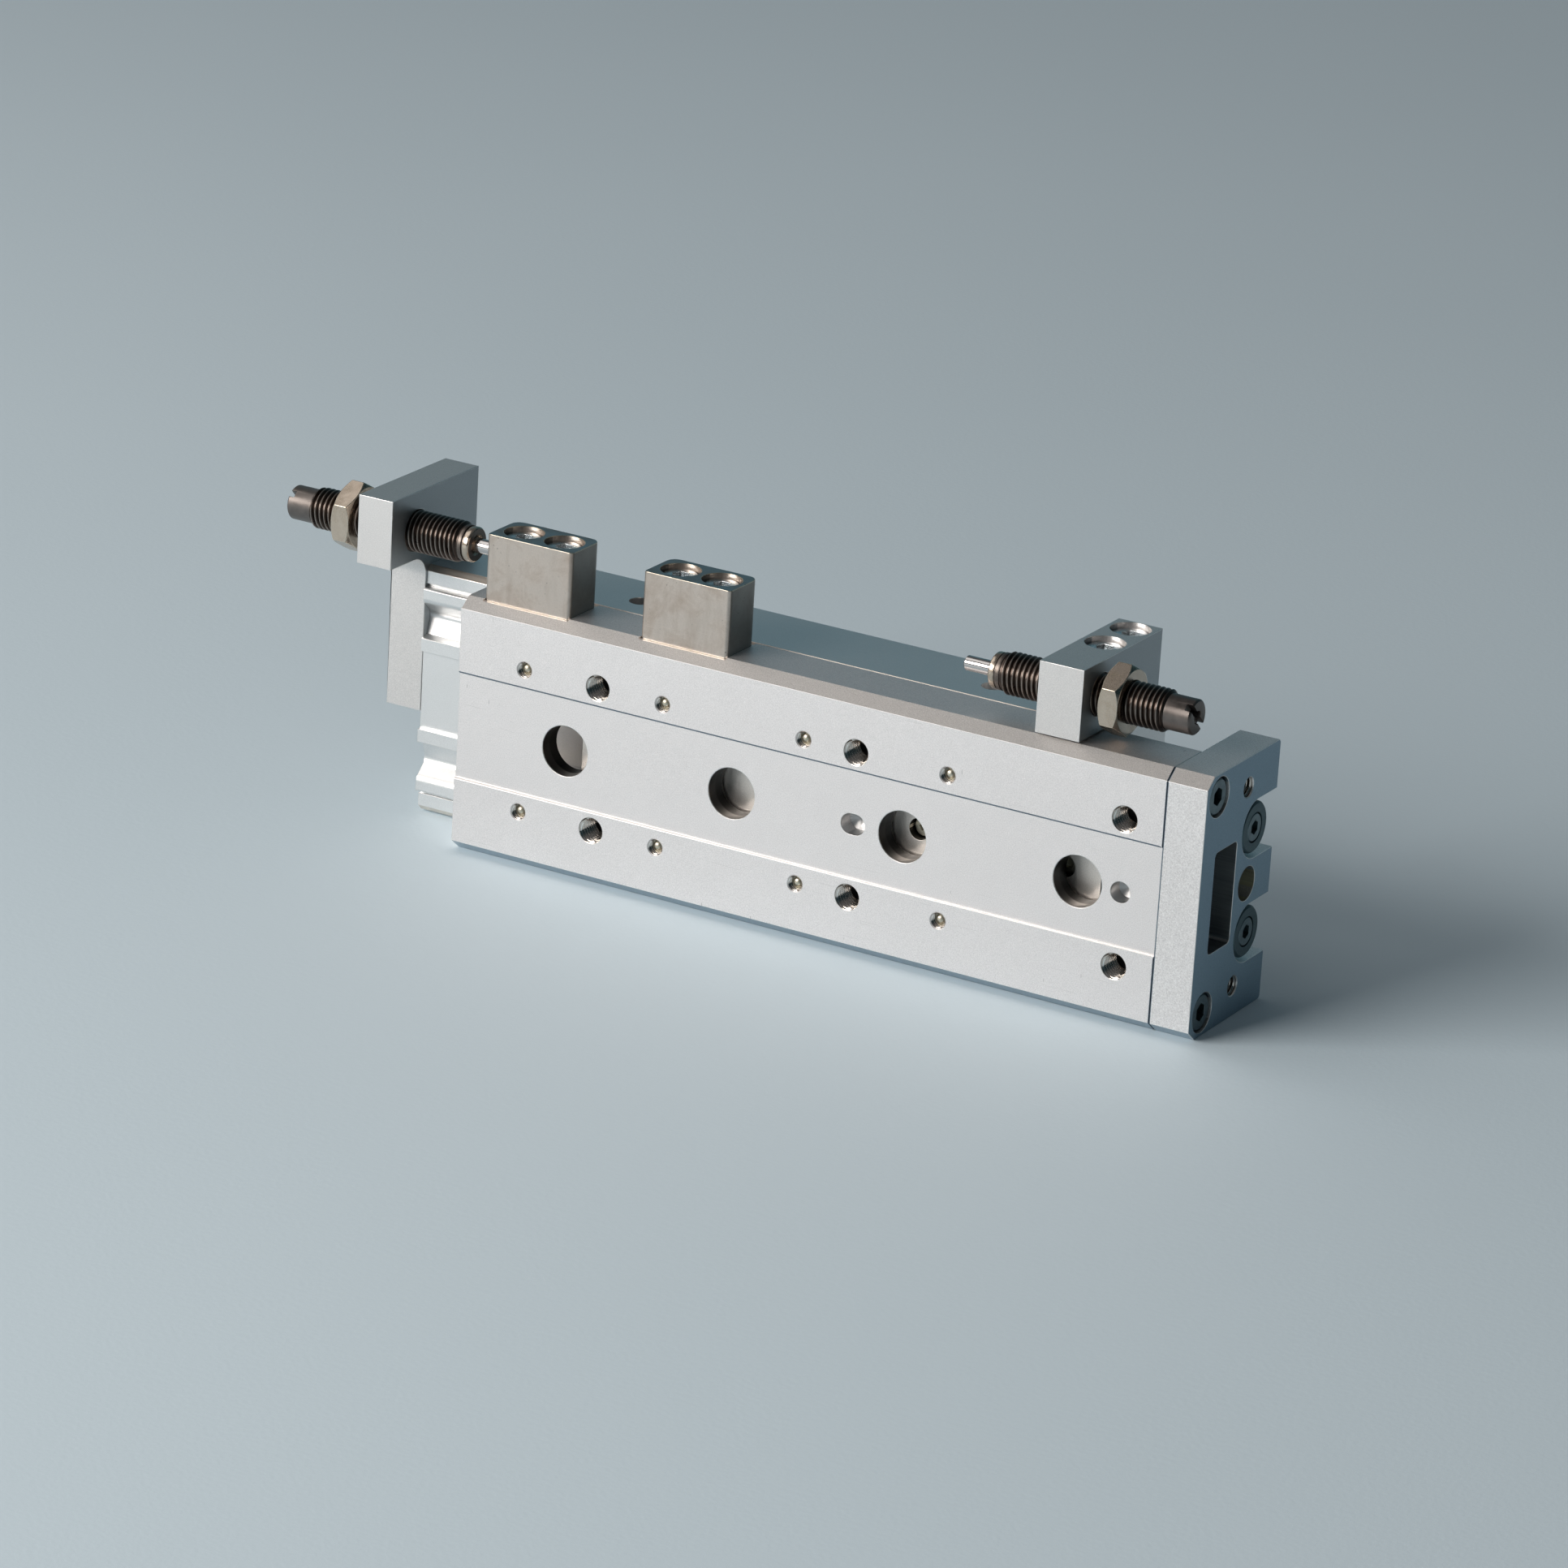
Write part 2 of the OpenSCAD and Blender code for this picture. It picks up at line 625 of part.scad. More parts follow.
module piston(z) {
  r = piston_r;
  seal_x0 = piston_x0 + piston_seal_x;
  seal_x1 = seal_x0 + piston_seal_w;
  magnet_x0 = piston_x0 + piston_magnet_x;
  magnet_x1 = magnet_x0 + piston_magnet_w;
  rod_seat = rod_r + seat;
  x_revolve([
    [piston_x0, 0], [piston_x0, r - edge_r], [piston_x0 + edge_r, r], [seal_x0, r],
    [seal_x0, r - piston_seal_d], [seal_x1, r - piston_seal_d], [seal_x1, r], [magnet_x0, r],
    [magnet_x0, r - piston_magnet_d], [magnet_x1, r - piston_magnet_d], [magnet_x1, r],
    [piston_x1 - edge_r, r], [piston_x1, r - edge_r], [piston_x1, rod_seat], [rod_x0, rod_seat],
    [rod_x0, 0]
  ], 0, bore_y, z);
}

module piston_upper() {
  color([0.85, 0.78, 0.55]) place() piston(bore_z);
}

module piston_lower() {
  color([0.85, 0.78, 0.55]) place() piston(-bore_z);
}

module ring(x0, x1, r_in, r_out, z) {
  x_revolve([[x0, r_in], [x0, r_out], [x1, r_out], [x1, r_in]], 0, bore_y, z);
}

// A ring that lies in a groove, clear of its walls and floor
module groove_ring(x0, x1, r_in, r_out) {
  ring(x0 + running, x1 - running, r_in + seat, r_out, bore_z);
}

module piston_seals() {
  x0 = piston_x0 + piston_seal_x;
  color([0.12, 0.12, 0.12]) place() both_sides()
    groove_ring(x0, x0 + piston_seal_w, piston_r - piston_seal_d, piston_r);
}

module piston_magnets() {
  x0 = piston_x0 + piston_magnet_x;
  color([0.30, 0.30, 0.32]) place() both_sides()
    groove_ring(x0, x0 + piston_magnet_w, piston_r - piston_magnet_d, piston_r - running);
}

module floating_bushes() {
  color([0.45, 0.46, 0.48]) place() both_sides()
    x_revolve([
      [step_x, 1.6], [step_x, bush_r], [plate_x1 - 0.7, bush_r], [plate_x1 - 0.3, bush_r - 0.4],
      [plate_x1 - 0.3, 2.85], [plate_x1 - 2.5, 2.85], [plate_x1 - 2.5, 1.6]
    ], 0, bore_y, bore_z);
}

module rod_end_screws() {
  color([0.50, 0.50, 0.52]) place() both_sides()
    translate([plate_x1 - rod_end_recess, bore_y, bore_z]) rotate([0, 90, 0])
      socket_screw(rod_end_screw_d, rod_end_head_d, rod_end_head_h, plate_x1 - rod_end_recess - step_x);
}

module stop_block(x0) {
  back_r = 2;
  front_r = 0.8;
  y0 = edge_y + 0.1;
  difference() {
    translate([x0, y0, half_w - block_seat]) linear_extrude(height = block_h + block_seat) polygon(concat(
      arc([front_r, front_r], front_r, 270, 180),
      arc([back_r, block_d - back_r], back_r, 180, 90),
      arc([block_l - back_r, block_d - back_r], back_r, 90, 0),
      arc([block_l - front_r, front_r], front_r, 0, -90)
    ));
    for (s = [-1, 1]) {
      x = x0 + block_l / 2 + s * block_screw_pitch / 2;
      z_rod(half_w - cut, half_w + block_h + cut, screw_d / 2 + 0.25, x, block_screw_y);
      z_rod(half_w + block_h - screw_head_h - head_recess, half_w + block_h + cut, head_hole_r,
        x, block_screw_y);
    }
  }
}

module stop_block_rear() {
  color([0.62, 0.60, 0.57]) place() stop_block(rear_block_x0);
}

module stop_block_front() {
  color([0.62, 0.60, 0.57]) place() stop_block(front_block_x0);
}

module stop_block_screws() {
  z = half_w + block_h - screw_head_h - head_recess;
  color([0.68, 0.69, 0.70]) place() for (x = block_screw_xs())
    translate([x, block_screw_y, z])
      socket_screw(screw_d, screw_head_d, screw_head_h, z - half_w + block_screw_grip);
}

/* Body and the parts fixed to it */

function body_outline() = whole(concat(
  [
    [seat_y, seat_half], [ridge_y, seat_half + 0.1], [ridge_y, ridge_out],
    [channel_y - 0.9, ridge_out + 0.4], [channel_y, ridge_out + 3.4], [channel_y - 0.3, 15.3]
  ],
  arc([lobe_y + 1.6, lobe_out - 2.0], 1.6, 240, 180, 5),
  [[lobe_y, lobe_out - 0.3], [lobe_y + 0.3, lobe_out], [flange_y + 0.7, lobe_out], [flange_y + 0.7, groove_out],
   [flange_y, groove_out], [flange_y, body_half - edge_r], [flange_y + edge_r, body_half]],
  arc([unit_depth - 1, body_half - 1], 1, 90, 0)
));

// Round switch groove with a narrow mouth, in the lower side
module switch_groove(y) {
  z = -body_half + switch_groove_r + 0.7;
  x_rod(body_x0 - cut, body_x1 + cut, switch_groove_r, y, z);
  translate([body_x0 - cut, y - 1.4, -body_half - cut]) cube([body_l + 2 * cut, 2.8, switch_groove_r + cut]);
}

module body() {
  color([0.76, 0.77, 0.78]) place() difference() {
    x_profile(body_x0, body_x1) polygon(body_outline());
    both_sides() x_rod(body_x0 - cut, body_x1 + cut, bore_r, bore_y, bore_z);
    for (x = mount_xs) y_rod(0, unit_depth + cut, mount_r, x, 0);
    for (x = centre_screw_xs) y_rod(0, seat_y + 4, small_screw_d / 2, x, 0);
    for (x = port_xs(), s = [-1, 1]) {
      z_rod(s > 0 ? port_z : -body_half - cut, s > 0 ? body_half + cut : -port_z, port_r, x, bore_y);
      z_rod(s > 0 ? bore_z : -port_z - cut, s > 0 ? port_z + cut : -bore_z, port_passage_r, x, bore_y);
    }
    for (y = holder_screw_ys)
      z_rod(body_half - holder_screw_grip - screw_d / 4, body_half + cut, screw_d / 2, holder_mid_x, y);
    for (z = bracket_screw_zs)
      x_rod(body_x0 - cut, body_x0 + bracket_screw_grip + screw_d / 4, screw_d / 2, bracket_screw_y, z);
    for (y = [bore_y - 3.9, bore_y + 5.6]) switch_groove(y);
  }
}

function port_xs() = [body_x0 + port_rear, body_x1 - port_front];

module centre_rail() {
  top = centre_rail_y;
  foot = seat_y - 0.9;
  color([0.66, 0.66, 0.66]) place() difference() {
    union() {
      translate([centre_rail_x0, top, -centre_rail_half])
        cube([centre_rail_l, foot - top, 2 * centre_rail_half]);
      translate([centre_rail_x0, foot, -seat_half + seat])
        cube([centre_rail_l, seat_y - foot, 2 * (seat_half - seat)]);
    }
    both_sides() roller_bar(centre_rail_x0 - cut, centre_rail_x1 + cut);
    for (x = centre_screw_xs) {
      y_rod(top - cut, seat_y + cut, small_screw_d / 2 + 0.1, x, 0);
      y_rod(top - cut, top + 3.4, small_screw_head_d / 2 + 0.15, x, 0);
    }
    for (x = mount_xs) y_rod(top - cut, seat_y + cut, 3.7, x, 0);
  }
}

module centre_rail_screws() {
  y = centre_rail_y + 3.4;
  color([0.62, 0.63, 0.64]) place() for (x = centre_screw_xs)
    translate([x, y, 0]) rotate([90, 0, 0])
      socket_screw(small_screw_d, small_screw_head_d, 1.6, seat_y - y + 3.5);
}

module head_caps() {
  r = bore_r - seat;
  x0 = body_x0 + edge_r;
  seal_x0 = body_x0 + cap_seal_x;
  seal_x1 = seal_x0 + seal_w;
  nose_x = head_cap_x1 - bumper_t;
  color([0.70, 0.71, 0.72]) place() both_sides() x_revolve([
    [x0, 0], [x0, r], [seal_x0, r], [seal_x0, r - seal_d], [seal_x1, r - seal_d],
    [seal_x1, r], [nose_x, r], [nose_x, rod_r], [head_cap_x1, rod_r], [head_cap_x1, 0]
  ], 0, bore_y, bore_z);
}

module head_cap_seals() {
  x0 = body_x0 + cap_seal_x;
  color([0.12, 0.12, 0.12]) place() both_sides()
    groove_ring(x0, x0 + seal_w, bore_r - seat - seal_d, bore_r - seat);
}

module rear_bumpers() {
  color([0.15, 0.15, 0.15]) place() both_sides()
    x_rod(head_cap_x1, head_cap_x1 + bumper_t, rod_r + rod_collar_h, bore_y, bore_z);
}

module rod_cover(z) {
  r = bore_r - seat;
  rod_hole = rod_r + running;
  pocket_r = rod_r + rod_seal_h;
  pocket_x = cover_x1 - rod_seal_l - 2 * running;
  seal_x0 = body_x1 - cover_seal_x;
  seal_x1 = seal_x0 + seal_w;
  x_revolve([
    [rod_cover_x0, rod_hole], [rod_cover_x0, r], [seal_x0, r], [seal_x0, r - seal_d],
    [seal_x1, r - seal_d], [seal_x1, r], [cover_x1, r], [cover_x1, pocket_r],
    [pocket_x, pocket_r], [pocket_x, rod_hole]
  ], 0, bore_y, z);
}

module rod_cover_upper() {
  color([0.72, 0.73, 0.74]) place() rod_cover(bore_z);
}

module rod_cover_lower() {
  color([0.72, 0.73, 0.74]) place() rod_cover(-bore_z);
}

module rod_cover_seals() {
  x0 = body_x1 - cover_seal_x;
  color([0.12, 0.12, 0.12]) place() both_sides()
    groove_ring(x0, x0 + seal_w, bore_r - seat - seal_d, bore_r - seat);
}

module rod_seals() {
  color([0.12, 0.12, 0.12]) place() both_sides()
    ring(cover_x1 - rod_seal_l - running, cover_x1 - running, rod_r + running,
      rod_r + rod_seal_h - seat, bore_z);
}

module front_bumpers() {
  color([0.15, 0.15, 0.15]) place() both_sides()
    ring(rod_cover_x0 - bumper_t, rod_cover_x0, rod_r + edge_r, rod_r + 1.6 * rod_collar_h, bore_z);
}

module retaining_rings() {
  color([0.35, 0.35, 0.37]) place() both_sides() difference() {
    ring(ring_x0, ring_x0 + ring_t, bore_r - 1.4 * ring_t, bore_r - seat, bore_z);
    translate([ring_x0 - cut, bore_y, bore_z - ring_t]) cube([ring_t + 2 * cut, bore_r, 2 * ring_t]);
  }
}

module port_plugs() {
  color([0.55, 0.52, 0.45]) place() for (x = port_xs()) difference() {
    z_rod(-body_half + edge_r, -body_half + edge_r + port_plug_l, port_r - seat, x, bore_y);
    translate([x, bore_y, -body_half]) cylinder(h = 2, r = 1.2, $fn = 6);
  }
}

/* Rear bracket and front holder */

module rear_bracket() {
  arm_z0 = half_w + bracket_lift;
  arm_z1 = arm_z0 + bracket_arm_h;
  outline = concat(
    [[bracket_plate_y, -bracket_low], [bracket_y1, -bracket_low], [bracket_y1, arm_z1],
     [bracket_y0, arm_z1], [bracket_y0, arm_z0]],
    arc([bracket_plate_y - bracket_fillet, arm_z0 - bracket_fillet], bracket_fillet, 90, 0, 8)
  );
  color([0.74, 0.75, 0.75]) place() difference() {
    x_profile(bracket_x0, body_x0 - seat) polygon(outline);
    x_rod(bracket_x0 - cut, body_x0 + cut, absorber_r + thread_gap, absorber_y, absorber_z);
    for (z = bracket_screw_zs) {
      x_rod(bracket_x0 - cut, body_x0 + cut, screw_d / 2 + 0.25, bracket_screw_y, z);
      x_rod(bracket_x0 - cut, bracket_x0 + screw_head_h + flush_recess, head_hole_r, bracket_screw_y, z);
    }
  }
}

module rear_bracket_screws() {
  color([0.62, 0.63, 0.64]) place() for (z = bracket_screw_zs)
    translate([bracket_x0 + screw_head_h + flush_recess, bracket_screw_y, z]) rotate([0, -90, 0])
      socket_screw(screw_d, screw_head_d, screw_head_h,
        bracket_t - screw_head_h - flush_recess + bracket_screw_grip);
}

module front_holder() {
  top = half_w + holder_h;
  foot = body_half + seat;
  clear_y = side_depth + 0.4;
  outline = [
    [holder_y0, half_w + holder_gap], [clear_y, half_w + holder_gap], [clear_y, foot],
    [unit_depth - 0.3, foot], [unit_depth - 0.3, top], [holder_y0, top]
  ];
  x = holder_mid_x;
  color([0.74, 0.75, 0.75]) place() difference() {
    x_profile(holder_x0, holder_x1) polygon(outline);
    x_rod(holder_x0 - cut, holder_x1 + cut, absorber_r + thread_gap, absorber_y, absorber_z);
    for (y = holder_screw_ys) {
      z_rod(foot - cut, top + cut, screw_d / 2 + 0.25, x, y);
      z_rod(top - screw_head_h - head_recess, top + cut, head_hole_r, x, y);
    }
  }
}

module front_holder_screws() {
  z = half_w + holder_h - screw_head_h - head_recess;
  color([0.68, 0.69, 0.70]) place() for (y = holder_screw_ys)
    translate([holder_mid_x, y, z])
      socket_screw(screw_d, screw_head_d, screw_head_h, z - body_half + holder_screw_grip);
}

/* Crossed rollers: neighbours turned by 90 degrees */

module roller_row() {
  for (i = [0:roller_n - 1])
    translate([cage_x0 + (i + 0.5) * roller_pitch, roller_y, roller_z])
      rotate([(i % 2 == 0) ? 45 : -45, 0, 0])
        translate([0, 0, -roller_d * 0.46]) cylinder(h = roller_d * 0.92, r = roller_d / 2);
}

module rollers_upper() {
  color([0.70, 0.70, 0.70]) place() roller_row();
}

module rollers_lower() {
  color([0.70, 0.70, 0.70]) place() mirror([0, 0, 1]) roller_row();
}

module roller_cage() {
  h = roller_d * 1.7;
  window_x = roller_d + 0.16;
  window_y = roller_d * 1.46;
  difference() {
    translate([cage_x0, roller_y - h / 2, roller_z - cage_t / 2]) cube([cage_l, h, cage_t]);
    for (i = [0:roller_n - 1])
      translate([cage_x0 + (i + 0.5) * roller_pitch - window_x / 2, roller_y - window_y / 2, roller_z - cage_t])
        cube([window_x, window_y, 2 * cage_t]);
  }
}

module roller_cage_upper() {
  color([0.90, 0.88, 0.80]) place() roller_cage();
}

module roller_cage_lower() {
  color([0.90, 0.88, 0.80]) place() mirror([0, 0, 1]) roller_cage();
}

/* Shock absorbers, drawn with the rod's tip at the origin and the rod along -X */

// The threaded length is plain, at the thread's outer radius, with a relief at each end
module absorber_body() {
  x1 = absorber_stroke + absorber_collar_l;
  x2 = x1 + absorber_thread_l;
  x3 = x2 + absorber_tail_l;
  root = absorber_r - thread_depth;
  tail_r = root - edge_r / 3;
  inner_r = absorber_rod_r + 1.2;
  hole_r = absorber_rod_r - edge_r / 2;
  hole_x = x3 - 0.7 * absorber_tail_l;
  wall_x = x2 - absorber_rod_r;
  difference() {
    x_revolve([
      [x1, inner_r], [x1, root], [x1 + edge_r, root], [x1 + edge_r + thread_depth, absorber_r],
      [x2 - edge_r - thread_depth, absorber_r], [x2 - edge_r, root], [x2, tail_r],
      [x3 - edge_r, tail_r], [x3, tail_r - edge_r], [x3, hole_r], [hole_x, hole_r], [hole_x, 0],
      [wall_x, 0], [wall_x, inner_r]
    ], 0, 0, 0);
    translate([x3 - slot_d, 0, 0]) rotate([slot_turn, 0, 0])
      translate([0, -slot_w / 2, -absorber_r]) cube([slot_d + cut, slot_w, 2 * absorber_r]);
  }
}

module absorber_bush() {
  x0 = absorber_stroke;
  x1 = x0 + absorber_collar_l;
  hole = absorber_rod_r + running;
  inner_r = absorber_rod_r + 1.2 - running;
  step_x = x0 + absorber_collar_l / 2 + edge_r / 3;
  step_r = absorber_r - 2 * edge_r;
  flange_r = step_r + edge_r / 3;
  x_revolve([
    [x0, hole + 2 * edge_r], [x0, step_r - edge_r], [x0 + edge_r, step_r], [step_x, step_r],
    [step_x, step_r - edge_r / 2], [step_x + edge_r, step_r - edge_r / 2], [step_x + edge_r, flange_r],
    [x1 - seat, flange_r], [x1 - seat, inner_r], [x1 + bush_l, inner_r], [x1 + bush_l, hole],
    [x0 + 2 * edge_r, hole]
  ], 0, 0, 0);
}

// The head inside the casing keeps the rod in, and stands against the bush at rest
module absorber_rod() {
  head = absorber_stroke + absorber_collar_l + bush_l + edge_r;
  head_r = absorber_rod_r + 1.1;
  x_revolve([
    [0, 0], [0, absorber_rod_r - edge_r], [edge_r, absorber_rod_r], [head, absorber_rod_r], [head, head_r],
    [head + 3 * absorber_rod_r, head_r], [head + 3 * absorber_rod_r, 0]
  ], 0, 0, 0);
}

module lock_nut(x) {
  corner = nut_af / cos(30) / 2;
  bevel = 0.7;
  translate([x, 0, 0]) rotate([0, 90, 0]) difference() {
    intersection() {
      cylinder(h = nut_t, r = corner, $fn = 6);
      union() {
        cylinder(h = bevel, r1 = nut_af / 2 - 0.1, r2 = corner);
        translate([0, 0, bevel]) cylinder(h = nut_t - 2 * bevel, r = corner);
        translate([0, 0, nut_t - bevel]) cylinder(h = bevel, r1 = corner, r2 = nut_af / 2 - 0.1);
      }
    }
    translate([0, 0, -cut]) cylinder(h = nut_t + 2 * cut, r = absorber_r + seat);
  }
}

// The front absorber points back along -X, and the rear one points forward along +X
module at_front() {
  place() translate([front_tip_x, absorber_y, absorber_z]) children();
}

module at_rear() {
  place() translate([rear_tip_x, absorber_y, absorber_z]) mirror([1, 0, 0]) children();
}

module rear_absorber_body() {
  color([0.27, 0.24, 0.22]) at_rear() absorber_body();
}

module rear_absorber_bush() {
  color([0.50, 0.44, 0.38]) at_rear() absorber_bush();
}

module rear_absorber_rod() {
  color([0.80, 0.80, 0.80]) at_rear() absorber_rod();
}

module rear_lock_nut() {
  color([0.70, 0.66, 0.58]) at_rear() lock_nut(rear_nut_x);
}

module front_absorber_body() {
  color([0.27, 0.24, 0.22]) at_front() absorber_body();
}

module front_absorber_bush() {
  color([0.50, 0.44, 0.38]) at_front() absorber_bush();
}

module front_absorber_rod() {
  color([0.80, 0.80, 0.80]) at_front() absorber_rod();
}

module front_lock_nut() {
  color([0.70, 0.66, 0.58]) at_front() lock_nut(holder_x1 - front_tip_x + front_nut_gap);
}

body();
centre_rail();
centre_rail_screws();
head_caps();
head_cap_seals();
rear_bumpers();
rod_cover_upper();
rod_cover_lower();
rod_cover_seals();
rod_seals();
front_bumpers();
retaining_rings();
port_plugs();
rear_bracket();
rear_bracket_screws();
front_holder();
front_holder_screws();
table();
end_plate();
end_plate_screws();
side_rail_upper();
side_rail_lower();
side_rail_screws();
rod_upper();
rod_lower();
piston_upper();
piston_lower();
piston_seals();
piston_magnets();
floating_bushes();
rod_end_screws();
stop_block_rear();
stop_block_front();
stop_block_screws();
roller_cage_upper();
roller_cage_lower();
rollers_upper();
rollers_lower();
rear_absorber_body();
rear_absorber_bush();
rear_lock_nut();
rear_absorber_rod();
front_absorber_body();
front_absorber_bush();
front_lock_nut();
front_absorber_rod();
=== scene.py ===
import json
import math

import bmesh
import bpy
from mathutils import Matrix, Vector

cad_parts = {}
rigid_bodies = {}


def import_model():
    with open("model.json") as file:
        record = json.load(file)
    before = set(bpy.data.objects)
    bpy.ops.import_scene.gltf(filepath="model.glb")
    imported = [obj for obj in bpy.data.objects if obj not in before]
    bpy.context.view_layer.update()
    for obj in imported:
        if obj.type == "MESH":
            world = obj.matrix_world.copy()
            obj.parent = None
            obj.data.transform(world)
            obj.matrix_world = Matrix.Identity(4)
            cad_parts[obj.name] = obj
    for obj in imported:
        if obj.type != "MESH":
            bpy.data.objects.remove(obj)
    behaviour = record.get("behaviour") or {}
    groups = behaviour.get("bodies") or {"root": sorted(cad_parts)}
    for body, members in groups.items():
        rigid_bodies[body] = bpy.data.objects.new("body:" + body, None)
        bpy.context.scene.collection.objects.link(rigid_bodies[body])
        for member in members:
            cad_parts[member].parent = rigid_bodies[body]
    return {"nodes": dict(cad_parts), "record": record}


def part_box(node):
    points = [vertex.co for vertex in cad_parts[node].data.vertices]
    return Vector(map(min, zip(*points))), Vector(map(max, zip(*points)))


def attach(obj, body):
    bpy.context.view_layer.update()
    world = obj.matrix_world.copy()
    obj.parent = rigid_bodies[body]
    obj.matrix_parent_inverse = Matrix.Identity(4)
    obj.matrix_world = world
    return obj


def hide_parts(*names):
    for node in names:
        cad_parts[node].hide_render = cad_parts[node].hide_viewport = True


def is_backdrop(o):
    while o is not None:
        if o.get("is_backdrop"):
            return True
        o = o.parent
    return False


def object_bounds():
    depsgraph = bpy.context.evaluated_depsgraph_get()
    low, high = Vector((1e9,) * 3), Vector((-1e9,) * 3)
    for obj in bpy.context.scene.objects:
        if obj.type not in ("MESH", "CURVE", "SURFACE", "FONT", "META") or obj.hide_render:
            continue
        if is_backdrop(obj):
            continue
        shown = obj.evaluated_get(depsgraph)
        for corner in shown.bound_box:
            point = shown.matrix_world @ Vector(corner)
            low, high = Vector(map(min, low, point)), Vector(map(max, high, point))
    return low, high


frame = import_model()
cad_lo, cad_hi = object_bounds()

MM = 0.001
NODES = frame["nodes"]

# The part's own millimetres: X from the middle bolt column, Y from the table's face, Z from mid height.
# The table's holes and steps:
ACCESS_PITCH = 36.0
ACCESS_XS = [-61.7 + ACCESS_PITCH * i for i in range(4)]
ACCESS_R = 4.9
BOLT_XS, BOLT_ROW, BOLT_DEPTH = (-55.0, 0.0, 55.0), 14.0, 5.2
BOLT_R, BOLT_OPEN_R = 2.1, 2.56  # in the CAD, and opened for the thread
RAIL_SCREW_XS, RAIL_SCREW_THREAD = (-71.0, -41.0, -11.0, 19.0), 2.2
PIN_XS = (0, 1, 55)  # the first two for the locating slot, the last for the locating hole
STEP_Z = 10.3
FACE_HALF = 23
# The tapped holes and the bore in the end plate's front, and its window
PLATE_TAP_Y, PLATE_TAP_Z, PLATE_TAP_THREAD = 16.6, 19.0, 7.9
PLATE_TAP_R, PLATE_TAP_OPEN_R = 1.65, 2.06
PLATE_BORE_Y, PLATE_BORE_R = 18.95, 3.3
WINDOW_Y0, WINDOW_Y1, WINDOW_HALF = 5.1, 14.0, 9.9
SEAM_DEPTH = 2.6  # how deep the seam between table and end plate is rounded
# What the photo shows otherwise than the CAD: the flange's front chamfer and the rail's end
FLANGE_Y, FLANGE_Z = 14.5, 23.52
RAIL_END = 48.25
RAIL_RECESS_R = 3.6  # takes in the walls of the rail's screw recesses
# The absorbers' casings, from the end that the plunger comes out of
ABSORBER_ROOT, ABSORBER_MOUTH, ABSORBER_THREAD_END, ABSORBER_TAIL = 3.38, 3.42, 33.15, 33.2
BUSH_TIP = 1.33  # the bright length of an absorber's bush

# The table's face, its middle height and its rear end place those millimetres in the frame
_t_lo, _t_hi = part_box("table")
TABLE_REAR = -85.4
ORIGIN = Vector((_t_lo.x - TABLE_REAR * MM, _t_lo.y, (_t_lo.z + _t_hi.z) / 2))


def node_box(name):
    lo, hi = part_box(name)
    return (lo - ORIGIN) / MM, (hi - ORIGIN) / MM


# ---------------------------------------------------------------- camera, light and floor

cam_data = bpy.data.cameras.new("photo_camera")
cam = bpy.data.objects.new("photo_camera", cam_data)
bpy.context.scene.collection.objects.link(cam)
# Place, axes and lens as fitted to the photo's holes and edges
CAM_RIGHT = Vector((0.86141, 0.504777, 0.056326))
CAM_UP = Vector((-0.217288, 0.266008, 0.939162))
CAM_BACK = Vector((0.459085, -0.821243, 0.338823))
CAM_PLACE = Vector((0.60331, -1.06940, 0.46412))
rot = Matrix((CAM_RIGHT, CAM_UP, CAM_BACK)).transposed().to_4x4()
cam.matrix_world = Matrix.Translation(CAM_PLACE) @ rot
cam_data.lens = 161.55
cam_data.sensor_width = 36.0
cam_data.clip_start = 0.05
cam_data.clip_end = 50.0
bpy.context.scene.camera = cam
bpy.context.scene.view_settings.view_transform = "Standard"
bpy.context.scene.view_settings.look = "None"

LIT_POINT = (0, 0, 0.03)


def area(name, direction, distance, size, power, colour):
    """A rectangular light that looks at the part from a direction."""
    data = bpy.data.lights.new(name, "AREA")
    data.shape = "RECTANGLE"
    data.size, data.size_y = size
    data.energy = power
    data.color = colour
    o = bpy.data.objects.new(name, data)
    bpy.context.scene.collection.objects.link(o)
    d = Vector(direction).normalized()
    o.location = Vector(LIT_POINT) + d * distance
    o.rotation_euler = d.to_track_quat("Z", "Y").to_euler()


area("key_light", (-0.55, -0.85, 0.50), 1.6, (1.1, 0.7), 23, (1.0, 0.955, 0.915))
area("high_fill", (-0.55, -0.15, 0.75), 1.9, (1.2, 1.0), 4, (1.0, 0.97, 0.94))


